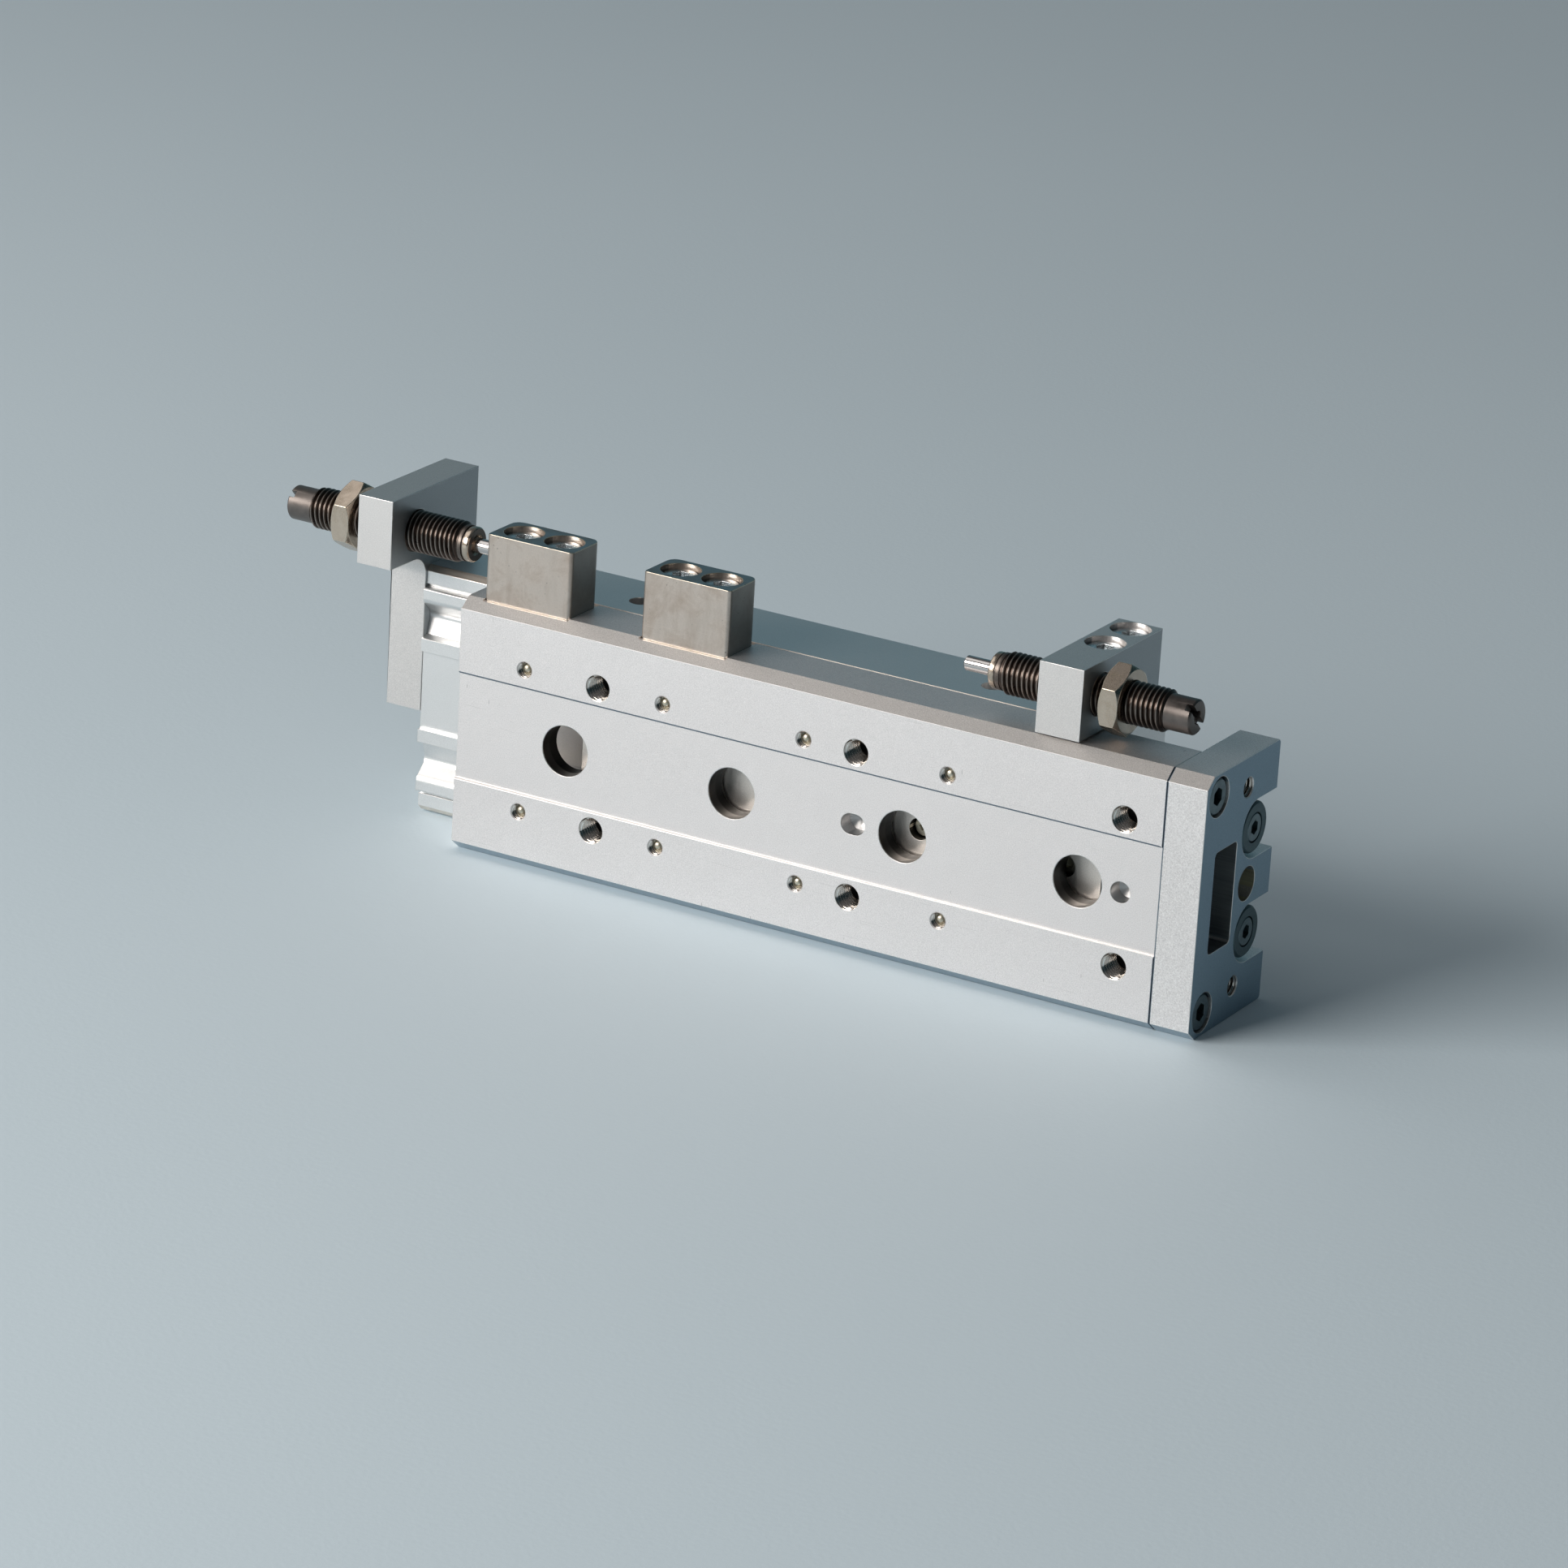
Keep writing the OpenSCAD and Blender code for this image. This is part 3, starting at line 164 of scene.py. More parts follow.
class Tree:
    """Short calls that add nodes to a shader tree."""

    def __init__(self, tree):
        self.t = tree
        self.n = tree.nodes
        self.l = tree.links

    def new(self, kind, **props):
        node = self.n.new(kind)
        for k, v in props.items():
            setattr(node, k, v)
        return node

    def put(self, socket, value):
        if isinstance(value, bpy.types.NodeSocket):
            self.l.new(value, socket)
        else:
            socket.default_value = value

    def coords(self):
        if not hasattr(self, "_c"):
            self._c = self.new("ShaderNodeTexCoord").outputs["Object"]
        return self._c

    def mapped(self, scale=(1, 1, 1), rotate=(0, 0, 0), move=(0, 0, 0)):
        m = self.new("ShaderNodeMapping")
        self.put(m.inputs["Vector"], self.coords())
        m.inputs["Scale"].default_value = scale
        m.inputs["Rotation"].default_value = rotate
        m.inputs["Location"].default_value = move
        return m.outputs["Vector"]

    def noise(self, scale, detail=2.0, rough=0.5, vector=None, distortion=0.0):
        t = self.new("ShaderNodeTexNoise")
        self.put(t.inputs["Vector"], vector or self.coords())
        t.inputs["Scale"].default_value = scale
        t.inputs["Detail"].default_value = detail
        t.inputs["Roughness"].default_value = rough
        t.inputs["Distortion"].default_value = distortion
        return t.outputs["Fac"]

    def voronoi(self, scale):
        t = self.new("ShaderNodeTexVoronoi")
        self.put(t.inputs["Vector"], self.coords())
        t.inputs["Scale"].default_value = scale
        return t.outputs["Distance"]

    def ranged(self, value, a, b, c=0.0, d=1.0, smooth=False):
        m = self.new("ShaderNodeMapRange")
        if smooth:
            m.interpolation_type = "SMOOTHSTEP"
        self.put(m.inputs["Value"], value)
        m.inputs["From Min"].default_value = a
        m.inputs["From Max"].default_value = b
        m.inputs["To Min"].default_value = c
        m.inputs["To Max"].default_value = d
        return m.outputs["Result"]

    def math(self, op, a, b=None, c=None):
        m = self.new("ShaderNodeMath", operation=op)
        for i, v in enumerate((a, b, c)):
            if v is not None:
                self.put(m.inputs[i], v)
        return m.outputs[0]

    def mix(self, fac, a, b):
        """Mixes two colours; inputs 6 and 7 and output 2 are the node's colour sockets."""
        m = self.new("ShaderNodeMix", data_type="RGBA")
        self.put(m.inputs["Factor"], fac)
        self.put(m.inputs[6], a if not isinstance(a, tuple) else (*a, 1.0))
        self.put(m.inputs[7], b if not isinstance(b, tuple) else (*b, 1.0))
        return m.outputs[2]

    def bump(self, height, strength, distance, normal=None):
        b = self.new("ShaderNodeBump")
        self.put(b.inputs["Height"], height)
        b.inputs["Strength"].default_value = strength
        b.inputs["Distance"].default_value = distance
        if normal is not None:
            self.put(b.inputs["Normal"], normal)
        return b.outputs["Normal"]

    def axis(self, which):
        if not hasattr(self, "_s"):
            self._s = self.new("ShaderNodeSeparateXYZ")
            self.put(self._s.inputs[0], self.coords())
        return self._s.outputs[which]

    def radius(self, a, b, ca, cb):
        """Distance from a line, in the plane of two axes."""
        da = self.math("SUBTRACT", self.axis(a), ca)
        db = self.math("SUBTRACT", self.axis(b), cb)
        squares = self.math("ADD", self.math("MULTIPLY", da, da), self.math("MULTIPLY", db, db))
        return self.math("SQRT", squares)


def material(name, metallic=1.0):
    m = bpy.data.materials.new(name)
    m.use_nodes = True
    tree = Tree(m.node_tree)
    shader = m.node_tree.nodes["Principled BSDF"]
    shader.inputs["Metallic"].default_value = metallic
    return m, tree, shader


def times(base, factor):
    """A colour made darker or lighter, and never above 1."""
    return tuple(min(1.0, c * factor) for c in base)


def finish_of(tree, shader, colour, rough, normal=None):
    tree.put(shader.inputs["Base Color"], colour)
    tree.put(shader.inputs["Roughness"], rough)
    if normal is not None:
        tree.put(shader.inputs["Normal"], normal)


# World: grey all round; below the zenith blue-grey behind, nearly black to the right, pale to the left
world = bpy.data.worlds.new("studio_world")
world.use_nodes = True
bpy.context.scene.world = world
wt = Tree(world.node_tree)
w_dir = wt.new("ShaderNodeTexCoord").outputs["Generated"]
w_sep = wt.new("ShaderNodeSeparateXYZ")
wt.put(w_sep.inputs[0], w_dir)
w_back = wt.ranged(w_sep.outputs["Y"], -0.1, 0.45, smooth=True)
w_low = wt.ranged(w_sep.outputs["Z"], 0.45, 0.8, 1.0, 0.0, smooth=True)
w_right = wt.ranged(w_sep.outputs["X"], 0.0, 0.6, smooth=True)
w_col = wt.mix(wt.math("MULTIPLY", w_back, w_low), (0.115, 0.117, 0.12), (0.09, 0.175, 0.215))
w_col = wt.mix(wt.math("MULTIPLY", w_right, w_low), w_col, (0.012, 0.028, 0.036))
w_left = wt.ranged(w_sep.outputs["X"], -0.45, -0.8, smooth=True)
w_col = wt.mix(wt.math("MULTIPLY", w_left, w_low), w_col, (0.26, 0.255, 0.25))
w_bg = world.node_tree.nodes["Background"]
wt.put(w_bg.inputs["Color"], w_col)
w_bg.inputs["Strength"].default_value = 1.0

floor_mesh = bpy.data.meshes.new("floor")
fb = bmesh.new()
bmesh.ops.create_grid(fb, x_segments=8, y_segments=8, size=6.0)
fb.to_mesh(floor_mesh)
fb.free()
floor = bpy.data.objects.new("floor", floor_mesh)
bpy.context.scene.collection.objects.link(floor)
FLOOR_GAP = 0.00005  # keeps the floor clear of the part's lower side
floor.location.z = cad_lo.z - FLOOR_GAP
fm, ft, fs = material("floor_paper", metallic=0.0)
f_tone = ft.noise(2.5, 2.0)
f_colour = ft.mix(ft.ranged(f_tone, 0.3, 0.7), (0.68, 0.80, 0.87), (0.71, 0.83, 0.90))
finish_of(ft, fs, f_colour, 0.75, ft.bump(ft.noise(900, 3.0), 0.15, 0.0002))
floor_mesh.materials.append(fm)
floor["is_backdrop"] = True


# ---------------------------------------------------------------- materials

FINE_RELIEF = 0.00003  # the bump distance of fine grain, in metres


def blasted(name, base, rough=0.50, grain=1.0, tint=0.05, size=1.0, marks=0.0):
    """Bead-blasted, clear-anodised aluminium: fine sparkle, faint clouds, a few hairlines and nicks."""
    m, t, s = material(name)
    fine = t.noise(4200 / size, 3.0, 0.65)
    speck = t.noise(6500 / size, 2.0, 0.75)
    cloud = t.noise(45, 4.0, 0.6)
    colour = t.mix(t.ranged(cloud, 0.35, 0.65), times(base, 0.975), base)
    colour = t.mix(t.ranged(speck, 0.48, 0.36), colour, times(base, 1 - 1.6 * tint))
    colour = t.mix(t.ranged(speck, 0.53, 0.66), colour, times(base, 1 + 1.6 * tint))
    rough_in = t.ranged(fine, 0.3, 0.7, rough - 0.06, rough + 0.07)
    normal = t.bump(fine, 0.30 * grain, FINE_RELIEF)
    if marks:
        hair_v = t.mapped((60, 500, 4200), (0.0, 0.12, 0.0))
        hair = t.ranged(t.noise(1.0, 1.0, 0.4, hair_v), 0.72, 0.75)
        nick_v = t.mapped((2600, 500, 420), (0.0, -0.15, 0.0))
        nick = t.ranged(t.noise(1.0, 0.0, 0.4, nick_v), 0.845, 0.87)
        patch = t.ranged(t.noise(38, 1.0), 0.50, 0.60)
        mark = t.math("MULTIPLY", t.math("MAXIMUM", t.math("MULTIPLY", hair, 0.35), nick), patch)
        mark = t.math("MULTIPLY", mark, marks)
        colour = t.mix(mark, colour, times(base, 0.62))
        normal = t.bump(mark, 0.15, 0.00004, normal)
    finish_of(t, s, colour, rough_in, normal)
    return m


def brushed(name, base, rough=0.30, along=0, fine=5000, strength=0.2, tint=0.12):
    """Ground or milled metal with fine lines along one axis."""
    m, t, s = material(name)
    scale = [fine, fine, fine]
    scale[along] = fine / 60
    v = t.mapped(tuple(scale))
    lines = t.noise(1.0, 3.0, 0.6, v)
    cloud = t.noise(120, 3.0, 0.6)
    colour = t.mix(t.ranged(lines, 0.3, 0.7), times(base, 1 - tint), base)
    colour = t.mix(t.ranged(cloud, 0.45, 0.8, 0.0, 0.35), colour, times(base, 0.9))
    rough_in = t.ranged(lines, 0.3, 0.7, rough - 0.07, rough + 0.08)
    finish_of(t, s, colour, rough_in, t.bump(lines, strength, FINE_RELIEF))
    return m


def plated(name, base, stain, rough=0.28, stain_amount=0.5, scale=160, relief=1.0, wear=1.0):
    """Plated steel with soft stains, a satin grain, pits and hairline scratches."""
    m, t, s = material(name)
    cloud = t.noise(scale, 6.0, 0.68, distortion=0.5)
    grain = t.noise(3600, 3.0, 0.7)
    smear = t.noise(1.0, 4.0, 0.6, t.mapped((420, 260, 90), (0.0, 0.2, 0.1)))
    pit_at = t.noise(260, 2.0, 0.5)
    pit = t.math("MULTIPLY", t.ranged(t.voronoi(950), 0.05, 0.16, 1.0, 0.0), t.ranged(pit_at, 0.5, 0.62))
    hairs = t.noise(1.0, 1.0, 0.4, t.mapped((260, 900, 9000), (0.3, 0.2, 0.5)))
    scratch = t.math("MULTIPLY", t.ranged(hairs, 0.68, 0.73), t.ranged(t.noise(70, 1.0), 0.5, 0.6))
    colour = t.mix(t.ranged(grain, 0.3, 0.7), times(base, 0.93), times(base, 1.05))
    colour = t.mix(t.ranged(smear, 0.48, 0.75, 0.0, 0.6 * stain_amount), colour, stain)
    colour = t.mix(t.ranged(cloud, 0.46, 0.70, 0.0, stain_amount), colour, stain)
    colour = t.mix(t.math("MULTIPLY", pit, 0.7 * wear), colour, times(base, 0.35))
    colour = t.mix(t.math("MULTIPLY", scratch, 0.35 * wear), colour, times(base, 1.35))
    rough_cloud = t.ranged(cloud, 0.3, 0.75, rough - 0.04, rough + 0.12)
    rough_in = t.math("ADD", rough_cloud, t.ranged(grain, 0.3, 0.7, -0.03, 0.04))
    swell = t.bump(cloud, 0.05 * relief, 0.0002)
    finish_of(t, s, colour, rough_in, t.bump(grain, 0.12 * relief, FINE_RELIEF, swell))
    return m


def bored(name, base, dark_from):
    """The walls of the table's access holes, with painted shade towards their inner end and on their -X side.
    """
    m, t, s = material(name)
    lines = t.noise(1.0, 3.0, 0.6, t.mapped((3000, 120, 3000)))
    # Painted shade: darker towards the holes' inner end
    dark_y = ORIGIN.y + dark_from * MM
    painted_depth_shade = t.ranged(t.axis("Y"), dark_y, dark_y + 0.5 * MM, smooth=True)
    colour = t.mix(t.ranged(lines, 0.3, 0.7), times(base, 0.85), base)
    colour = t.mix(painted_depth_shade, colour, times(base, 0.10))
    # Painted shade: darker on the walls at each hole's -X side
    across = t.math("SUBTRACT", t.axis("X"), ORIGIN.x + ACCESS_XS[0] * MM)
    side = t.math("WRAP", across, -ACCESS_PITCH * MM / 2, ACCESS_PITCH * MM / 2)
    shade = t.ranged(side, -4.8 * MM, 1.0 * MM, 0.92, 0.0, smooth=True)
    colour = t.mix(shade, colour, times(base, 0.08))
    finish_of(t, s, colour, t.ranged(lines, 0.3, 0.7, 0.28, 0.40), t.bump(lines, 0.06, FINE_RELIEF))
    return m


def rubbery(name, base, rough=0.6):
    """Rubber, resin or ferrite: not metallic, with a faint grain."""
    m, t, s = material(name, metallic=0.0)
    n = t.noise(3000, 3.0, 0.6)
    colour = t.mix(n, times(base, 0.7), base)
    rough_in = t.ranged(n, 0.3, 0.7, rough - 0.1, rough + 0.1)
    finish_of(t, s, colour, rough_in, t.bump(n, 0.2, 0.00004))
    return m


# Each finish: its kind, its name and the values its kind takes, in that order
FINISHES = [
    (blasted, "body_aluminium", (0.86, 0.86, 0.855), 0.40, 0.5, 0.035),
    (blasted, "table_aluminium", (0.852, 0.828, 0.822), 0.50, 1.3, 0.085, 1.15, 1.0),
    (blasted, "plate_aluminium", (0.862, 0.838, 0.829), 0.48, 1.8, 0.11, 1.4),
    (blasted, "chamfer_aluminium", (0.53, 0.515, 0.50), 0.50, 1.5, 0.14, 1.0),
    (blasted, "chamfer_low", (0.46, 0.53, 0.58), 0.42, 1.0, 0.08),
    (blasted, "plate_side", (0.325, 0.435, 0.515), 0.50, 0.9, 0.06),
    (brushed, "window_wall", (0.34, 0.36, 0.37), 0.46, 0, 5000, 0.25, 0.4),
    (blasted, "mount_aluminium", (0.80, 0.77, 0.75), 0.43, 1.2, 0.07, 1.1),
    (brushed, "edge_aluminium", (0.90, 0.88, 0.86), 0.34, 0, 4000, 0.0, 0.10),
    (brushed, "edge_warm", (0.86, 0.79, 0.71), 0.40, 0, 4000, 0.0, 0.15),
    (brushed, "edge_soft", (0.78, 0.77, 0.76), 0.50, 0, 4000, 0.0, 0.10),
    (brushed, "edge_dull", (0.60, 0.60, 0.60), 0.52, 0, 4000, 0.0, 0.10),
    (brushed, "edge_dark", (0.20, 0.25, 0.30), 0.42, 0, 4000, 0.0, 0.2),
    (brushed, "milled_aluminium", (0.60, 0.555, 0.51), 0.16, 1, 6000, 0.0, 0.08),
    (brushed, "hole_floor", (0.06, 0.058, 0.056), 0.45, 1, 6000, 0.04, 0.25),
    (brushed, "thread_crest", (0.92, 0.90, 0.87), 0.18, 1, 6000, 0.0, 0.05),
    (brushed, "thread_root", (0.16, 0.14, 0.125), 0.40, 1, 6000, 0.04, 0.2),
    (bored, "bore_aluminium", (0.38, 0.36, 0.345), 2.7),
    (brushed, "bore_bronze", (0.62, 0.60, 0.47), 0.42, 0, 3000, 0.10, 0.25),
    (brushed, "pin_bore", (0.66, 0.655, 0.65), 0.38, 1, 3000, 0.04, 0.12),
    (blasted, "guide_steel", (0.84, 0.79, 0.735), 0.40, 1.2, 0.07, 1.2),
    (plated, "block_nickel", (0.60, 0.53, 0.472), (0.41, 0.335, 0.278), 0.36, 0.80, 170, 1.8, 1.5),
    (plated, "block_side", (0.34, 0.33, 0.31), (0.22, 0.20, 0.17), 0.40, 0.5, 120),
    (blasted, "mount_side", (0.46, 0.50, 0.52), 0.46, 0.8, 0.05),
    (plated, "edge_nickel", (0.70, 0.63, 0.52), (0.42, 0.35, 0.27), 0.28, 0.6, 420, 0.1, 0.0),
    (brushed, "rod_chrome", (0.64, 0.615, 0.60), 0.15, 0, 3000, 0.05, 0.15),
    (plated, "screw_zinc", (0.46, 0.53, 0.56), (0.28, 0.32, 0.34), 0.30, 0.6, 600, 1.0, 0.0),
    (plated, "screw_dark", (0.17, 0.225, 0.245), (0.11, 0.14, 0.15), 0.32, 0.6, 600, 1.0, 0.0),
    (plated, "screw_bright", (0.80, 0.82, 0.83), (0.42, 0.46, 0.48), 0.17, 0.7, 900, 2.0, 0.0),
    (plated, "block_top", (0.36, 0.39, 0.40), (0.24, 0.22, 0.19), 0.32, 0.6, 160, 1.0, 0.6),
    (plated, "rail_screw_steel", (0.66, 0.62, 0.51), (0.44, 0.39, 0.29), 0.36, 0.6, 700, 0.5, 0.0),
    (plated, "absorber_nickel", (0.57, 0.485, 0.40), (0.36, 0.29, 0.215), 0.20, 0.6, 260, 0.3, 0.0),
    (brushed, "collar_steel", (0.20, 0.17, 0.15), 0.38, 1, 3500, 0.08, 0.3),
    (brushed, "bush_steel", (0.10, 0.15, 0.165), 0.42, 1),
    (brushed, "piston_brass", (0.70, 0.56, 0.30), 0.3, 0),
    (brushed, "cover_aluminium", (0.66, 0.67, 0.68), 0.32, 0),
    (rubbery, "seal_rubber", (0.02, 0.02, 0.022)),
    (rubbery, "bumper_rubber", (0.03, 0.03, 0.03)),
    (rubbery, "magnet_ferrite", (0.06, 0.06, 0.065), 0.5),
    (rubbery, "cage_resin", (0.20, 0.19, 0.17), 0.45),
    (brushed, "roller_steel", (0.62, 0.62, 0.63), 0.16, 2),
]
mats = {name: kind(name, *values) for kind, name, *values in FINISHES}


def oxide(name, axis_y, axis_z, crest, dark, light, rough):
    """Dark oxide with the metal showing through on the thread's crests."""
    m, t, s = material(name)
    n = t.noise(700, 4.0, 0.6)
    r = t.radius("Y", "Z", axis_y, axis_z)
    worn = t.ranged(r, (crest - 0.22) * MM, (crest - 0.02) * MM, smooth=True)
    worn = t.math("MULTIPLY", worn, t.ranged(t.noise(500, 4.0, 0.7), 0.25, 0.6, 0.45, 1.0))
    colour = t.mix(t.ranged(n, 0.3, 0.7), dark, light)
    colour = t.mix(worn, colour, (0.34, 0.30, 0.27))
    rough_in = t.ranged(n, 0.3, 0.75, rough, rough + 0.16)
    finish_of(t, s, colour, rough_in, t.bump(t.noise(4000, 2.0), 0.08, 0.00002))
    return m


_fa_lo, _fa_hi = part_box("front_absorber_body")
AXIS_Y = (_fa_lo.y + _fa_hi.y) / 2
AXIS_Z = (_fa_lo.z + _fa_hi.z) / 2
# The tail's crest lies beyond its radius, so that none of it is worn to the metal
for name, crest, dark, light, rough in (
    ("absorber_oxide", 4.0, (0.060, 0.046, 0.040), (0.095, 0.075, 0.064), 0.26),
    ("absorber_tail", 9.0, (0.165, 0.145, 0.133), (0.20, 0.178, 0.165), 0.33),
):
    mats[name] = oxide(name, AXIS_Y, AXIS_Z, crest, dark, light, rough)

SLOT_OF = {p["node"]: p["material_slot"] for p in frame["record"]["subparts"]}


def body_of(node):
    """The moving body that a CAD node belongs to."""
    return NODES[node].parent.name.removeprefix("body:")


for node, o in NODES.items():
    if not o.material_slots:
        o.data.materials.append(None)
    for ms in o.material_slots:
        ms.material = mats[SLOT_OF[node]]


# ---------------------------------------------------------------- mesh helpers, in the part's own millimetres

MERGE_DIST = 0.0008
FLAT_DEGREES = 0.7


def lift(node):
    """A CAD node's mesh in the part's own millimetres, with its vertices merged."""
    bm = bmesh.new()
    bm.from_mesh(NODES[node].data)
    bmesh.ops.transform(bm, matrix=Matrix.Scale(1 / MM, 4) @ Matrix.Translation(-ORIGIN), verts=bm.verts)
    bmesh.ops.remove_doubles(bm, verts=bm.verts, dist=MERGE_DIST)
    for f in bm.faces:
        f.material_index = 0
    return bm


def flatten(bm):
    """Joins the triangles of each flat up again."""
    bmesh.ops.dissolve_limit(bm, angle_limit=math.radians(FLAT_DEGREES), use_dissolve_boundaries=False,
                             verts=bm.verts, edges=bm.edges, delimit=set())
    bmesh.ops.recalc_face_normals(bm, faces=bm.faces)


def round_edges(bm, width, segments=2, angle=32, mat=1, pick=None):
    """Rounds the sharp convex edges, or those of them that are picked, and gives the rounding a finish."""
    bm.normal_update()
    edges = [e for e in bm.edges
             if len(e.link_faces) == 2 and e.is_convex and e.calc_face_angle(0) > math.radians(angle)
             and (pick is None or pick(e))]
    bmesh.ops.bevel(bm, geom=edges, offset=width, offset_type="OFFSET", segments=segments, profile=0.5,
                    affect="EDGES", clamp_overlap=False, loop_slide=True, material=mat)


def refinish(bm, mat, test):
    """Gives another finish to those faces of finish 0 that pass a test."""
    bm.normal_update()
    for f in bm.faces:
        if f.material_index == 0 and test(f):
            f.material_index = mat


def edge_where(test):
    """Picks the edges that have both ends where a test passes."""
    return lambda e: all(test(v.co) for v in e.verts)


def chamfer(sign):
    """Tests for the face's upper chamfer, or its lower one."""
    return lambda f: f.normal.z * sign > 0.5 and f.normal.y < -0.4 and f.calc_area() > 1.0


def wall_test(axis, centres, r, flat=False):
    """Tests for faces of round holes: their walls, and with flat also their floors."""
    a, b = [k for k in range(3) if k != axis]

    def test(f):
        c = f.calc_center_median()
        near = any(math.hypot(c[a] - p[0], c[b] - p[1]) < r for p in centres)
        return near and (abs(f.normal[axis]) < 0.3 or (flat and c[axis] > 1.5))

    return test


def resize_hole(bm, axis, centre, r_from, r_to, inside):
    """Moves the wall of a round hole to another radius."""
    a, b = [k for k in range(3) if k != axis]
    for v in bm.verts:
        if not inside(v.co):
            continue
        da, db = v.co[a] - centre[a], v.co[b] - centre[b]
        r = math.hypot(da, db)
        if abs(r - r_from) < 0.03:
            v.co[a] = centre[a] + da * r_to / r
            v.co[b] = centre[b] + db * r_to / r


def emit(bm, name, finishes, body, replaced=(), smooth=34, weighted=True):
    """Makes a piece of a mesh in the part's millimetres, gives it its finishes, sets its body and hides the
    nodes it replaces.
    """
    bmesh.ops.transform(bm, matrix=Matrix.Translation(ORIGIN) @ Matrix.Scale(MM, 4), verts=bm.verts)
    bm.normal_update()
    for f in bm.faces:
        f.smooth = True
    for e in bm.edges:
        e.smooth = len(e.link_faces) == 2 and e.calc_face_angle(0) < math.radians(smooth)
    me = bpy.data.meshes.new(name)
    bm.to_mesh(me)
    bm.free()
    stale = me.attributes.get("custom_normal")
    if stale:
        me.attributes.remove(stale)
    for f in finishes:
        me.materials.append(mats[f])
    o = bpy.data.objects.new(name, me)
    bpy.context.scene.collection.objects.link(o)
    if weighted:
        w = o.modifiers.new("flat_faces", "WEIGHTED_NORMAL")
        w.keep_sharp = True
        w.weight = 100
        w.thresh = 2e-8  # in square metres, so that it tells the part's small faces apart
    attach(o, body)
    if replaced:
        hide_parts(*replaced)


def circle(bm, x, r, n):
    """A ring of n vertices round the X axis."""
    angles = [2 * math.pi * j / n for j in range(n)]
    return [bm.verts.new((x, r * math.cos(t), r * math.sin(t))) for t in angles]


def turned(points, n):
    """A closed body of revolution round +X from (x, r) points."""
    bm = bmesh.new()
    rings = []
    for x, r in points:
        rings.append([bm.verts.new((x, 0, 0))] * n if r < 1e-6 else circle(bm, x, r, n))
    m = len(points)
    for i in range(m):
        a, b = rings[i], rings[(i + 1) % m]
        for j in range(n):
            k = (j + 1) % n
            quad = []
            for v in (a[j], a[k], b[k], b[j]):
                if v not in quad:
                    quad.append(v)
            if len(quad) > 2:
                bm.faces.new(quad)
    bmesh.ops.recalc_face_normals(bm, faces=bm.faces)
    return bm


def thread_ring(x0, x1, root, crest, pitch, hidden, n, mouth0, mouth1=None, painted_shades=False):
    """A closed ring with a true helical thread round +X. hidden is the radius of its unseen side.

    For an outer thread crest is above root; for a tapped hole it is below. mouth0 and mouth1 are the
    radii at which the thread starts and ends in a 45 degree cone, and mouth1 is the crest if not given.
    When asked to, it paints a highlight on the crests, finish 1, and shade in the roots, finish 2.
    """
    outer = crest > root
    near_crest = crest - (crest - root) * 0.06
    profile = [(0.0, root), (0.13, root), (0.42, near_crest), (0.47, crest), (0.53, crest),
               (0.58, near_crest), (0.87, root)]
    painted_shade_of = (2, 0, 1, 1, 1, 0, 2) if painted_shades else (0,) * len(profile)
    s = len(profile)
    if mouth1 is None:
        mouth1 = crest
    limit = min if outer else max
    sign = 1 if outer else -1
    k0 = math.floor(x0 / pitch) - 2
    k1 = math.ceil(x1 / pitch) + 2
    bm = bmesh.new()
    rows = []
    for k in range(k0, k1):
        for ph, r in profile:
            row = []
            for j in range(n):
                x = (k + ph + j / n) * pitch
                xc = min(max(x, x0), x1)
                rr = limit(r, mouth0 + sign * (xc - x0))
                rr = limit(rr, mouth1 + sign * (x1 - xc))
                t = 2 * math.pi * j / n
                row.append(bm.verts.new((xc, rr * math.cos(t), rr * math.sin(t))))
            rows.append(row)
    for i in range(len(rows) - 1):
        for j in range(n):
            if j + 1 < n:
                quad = (rows[i][j], rows[i][j + 1], rows[i + 1][j + 1], rows[i + 1][j])
            elif i + 1 + s < len(rows):
                quad = (rows[i][j], rows[i + s][0], rows[i + 1 + s][0], rows[i + 1][j])
            else:
                continue
            bm.faces.new(quad).material_index = painted_shade_of[i % s]
    ends = []
    for x, r in ((x0, mouth0), (x1, mouth1)):
        a = circle(bm, x, r, n)
        b = circle(bm, x, hidden, n)
        for j in range(n):
            k = (j + 1) % n
            bm.faces.new((a[j], a[k], b[k], b[j]))
        ends.append(b)
    for j in range(n):
        k = (j + 1) % n
        bm.faces.new((ends[0][j], ends[0][k], ends[1][k], ends[1][j]))
    bmesh.ops.remove_doubles(bm, verts=bm.verts, dist=0.0004)
    bmesh.ops.dissolve_degenerate(bm, dist=0.0002, edges=bm.edges)
    bmesh.ops.recalc_face_normals(bm, faces=bm.faces)
    return bm


TURN = {
    "+x": Matrix.Identity(4),
    "-x": Matrix.Rotation(math.pi, 4, "Z"),
    "+y": Matrix.Rotation(math.pi / 2, 4, "Z"),
}


def add(into, bm, place, turn):
    """Copies bm into another mesh, turned from +X and moved, and frees it."""
    bmesh.ops.transform(bm, matrix=Matrix.Translation(Vector(place)) @ TURN[turn], verts=bm.verts)
    me = bpy.data.meshes.new("tmp")
    bm.to_mesh(me)
    bm.free()
    into.from_mesh(me)
    bpy.data.meshes.remove(me)


# ---------------------------------------------------------------- the dressed pieces

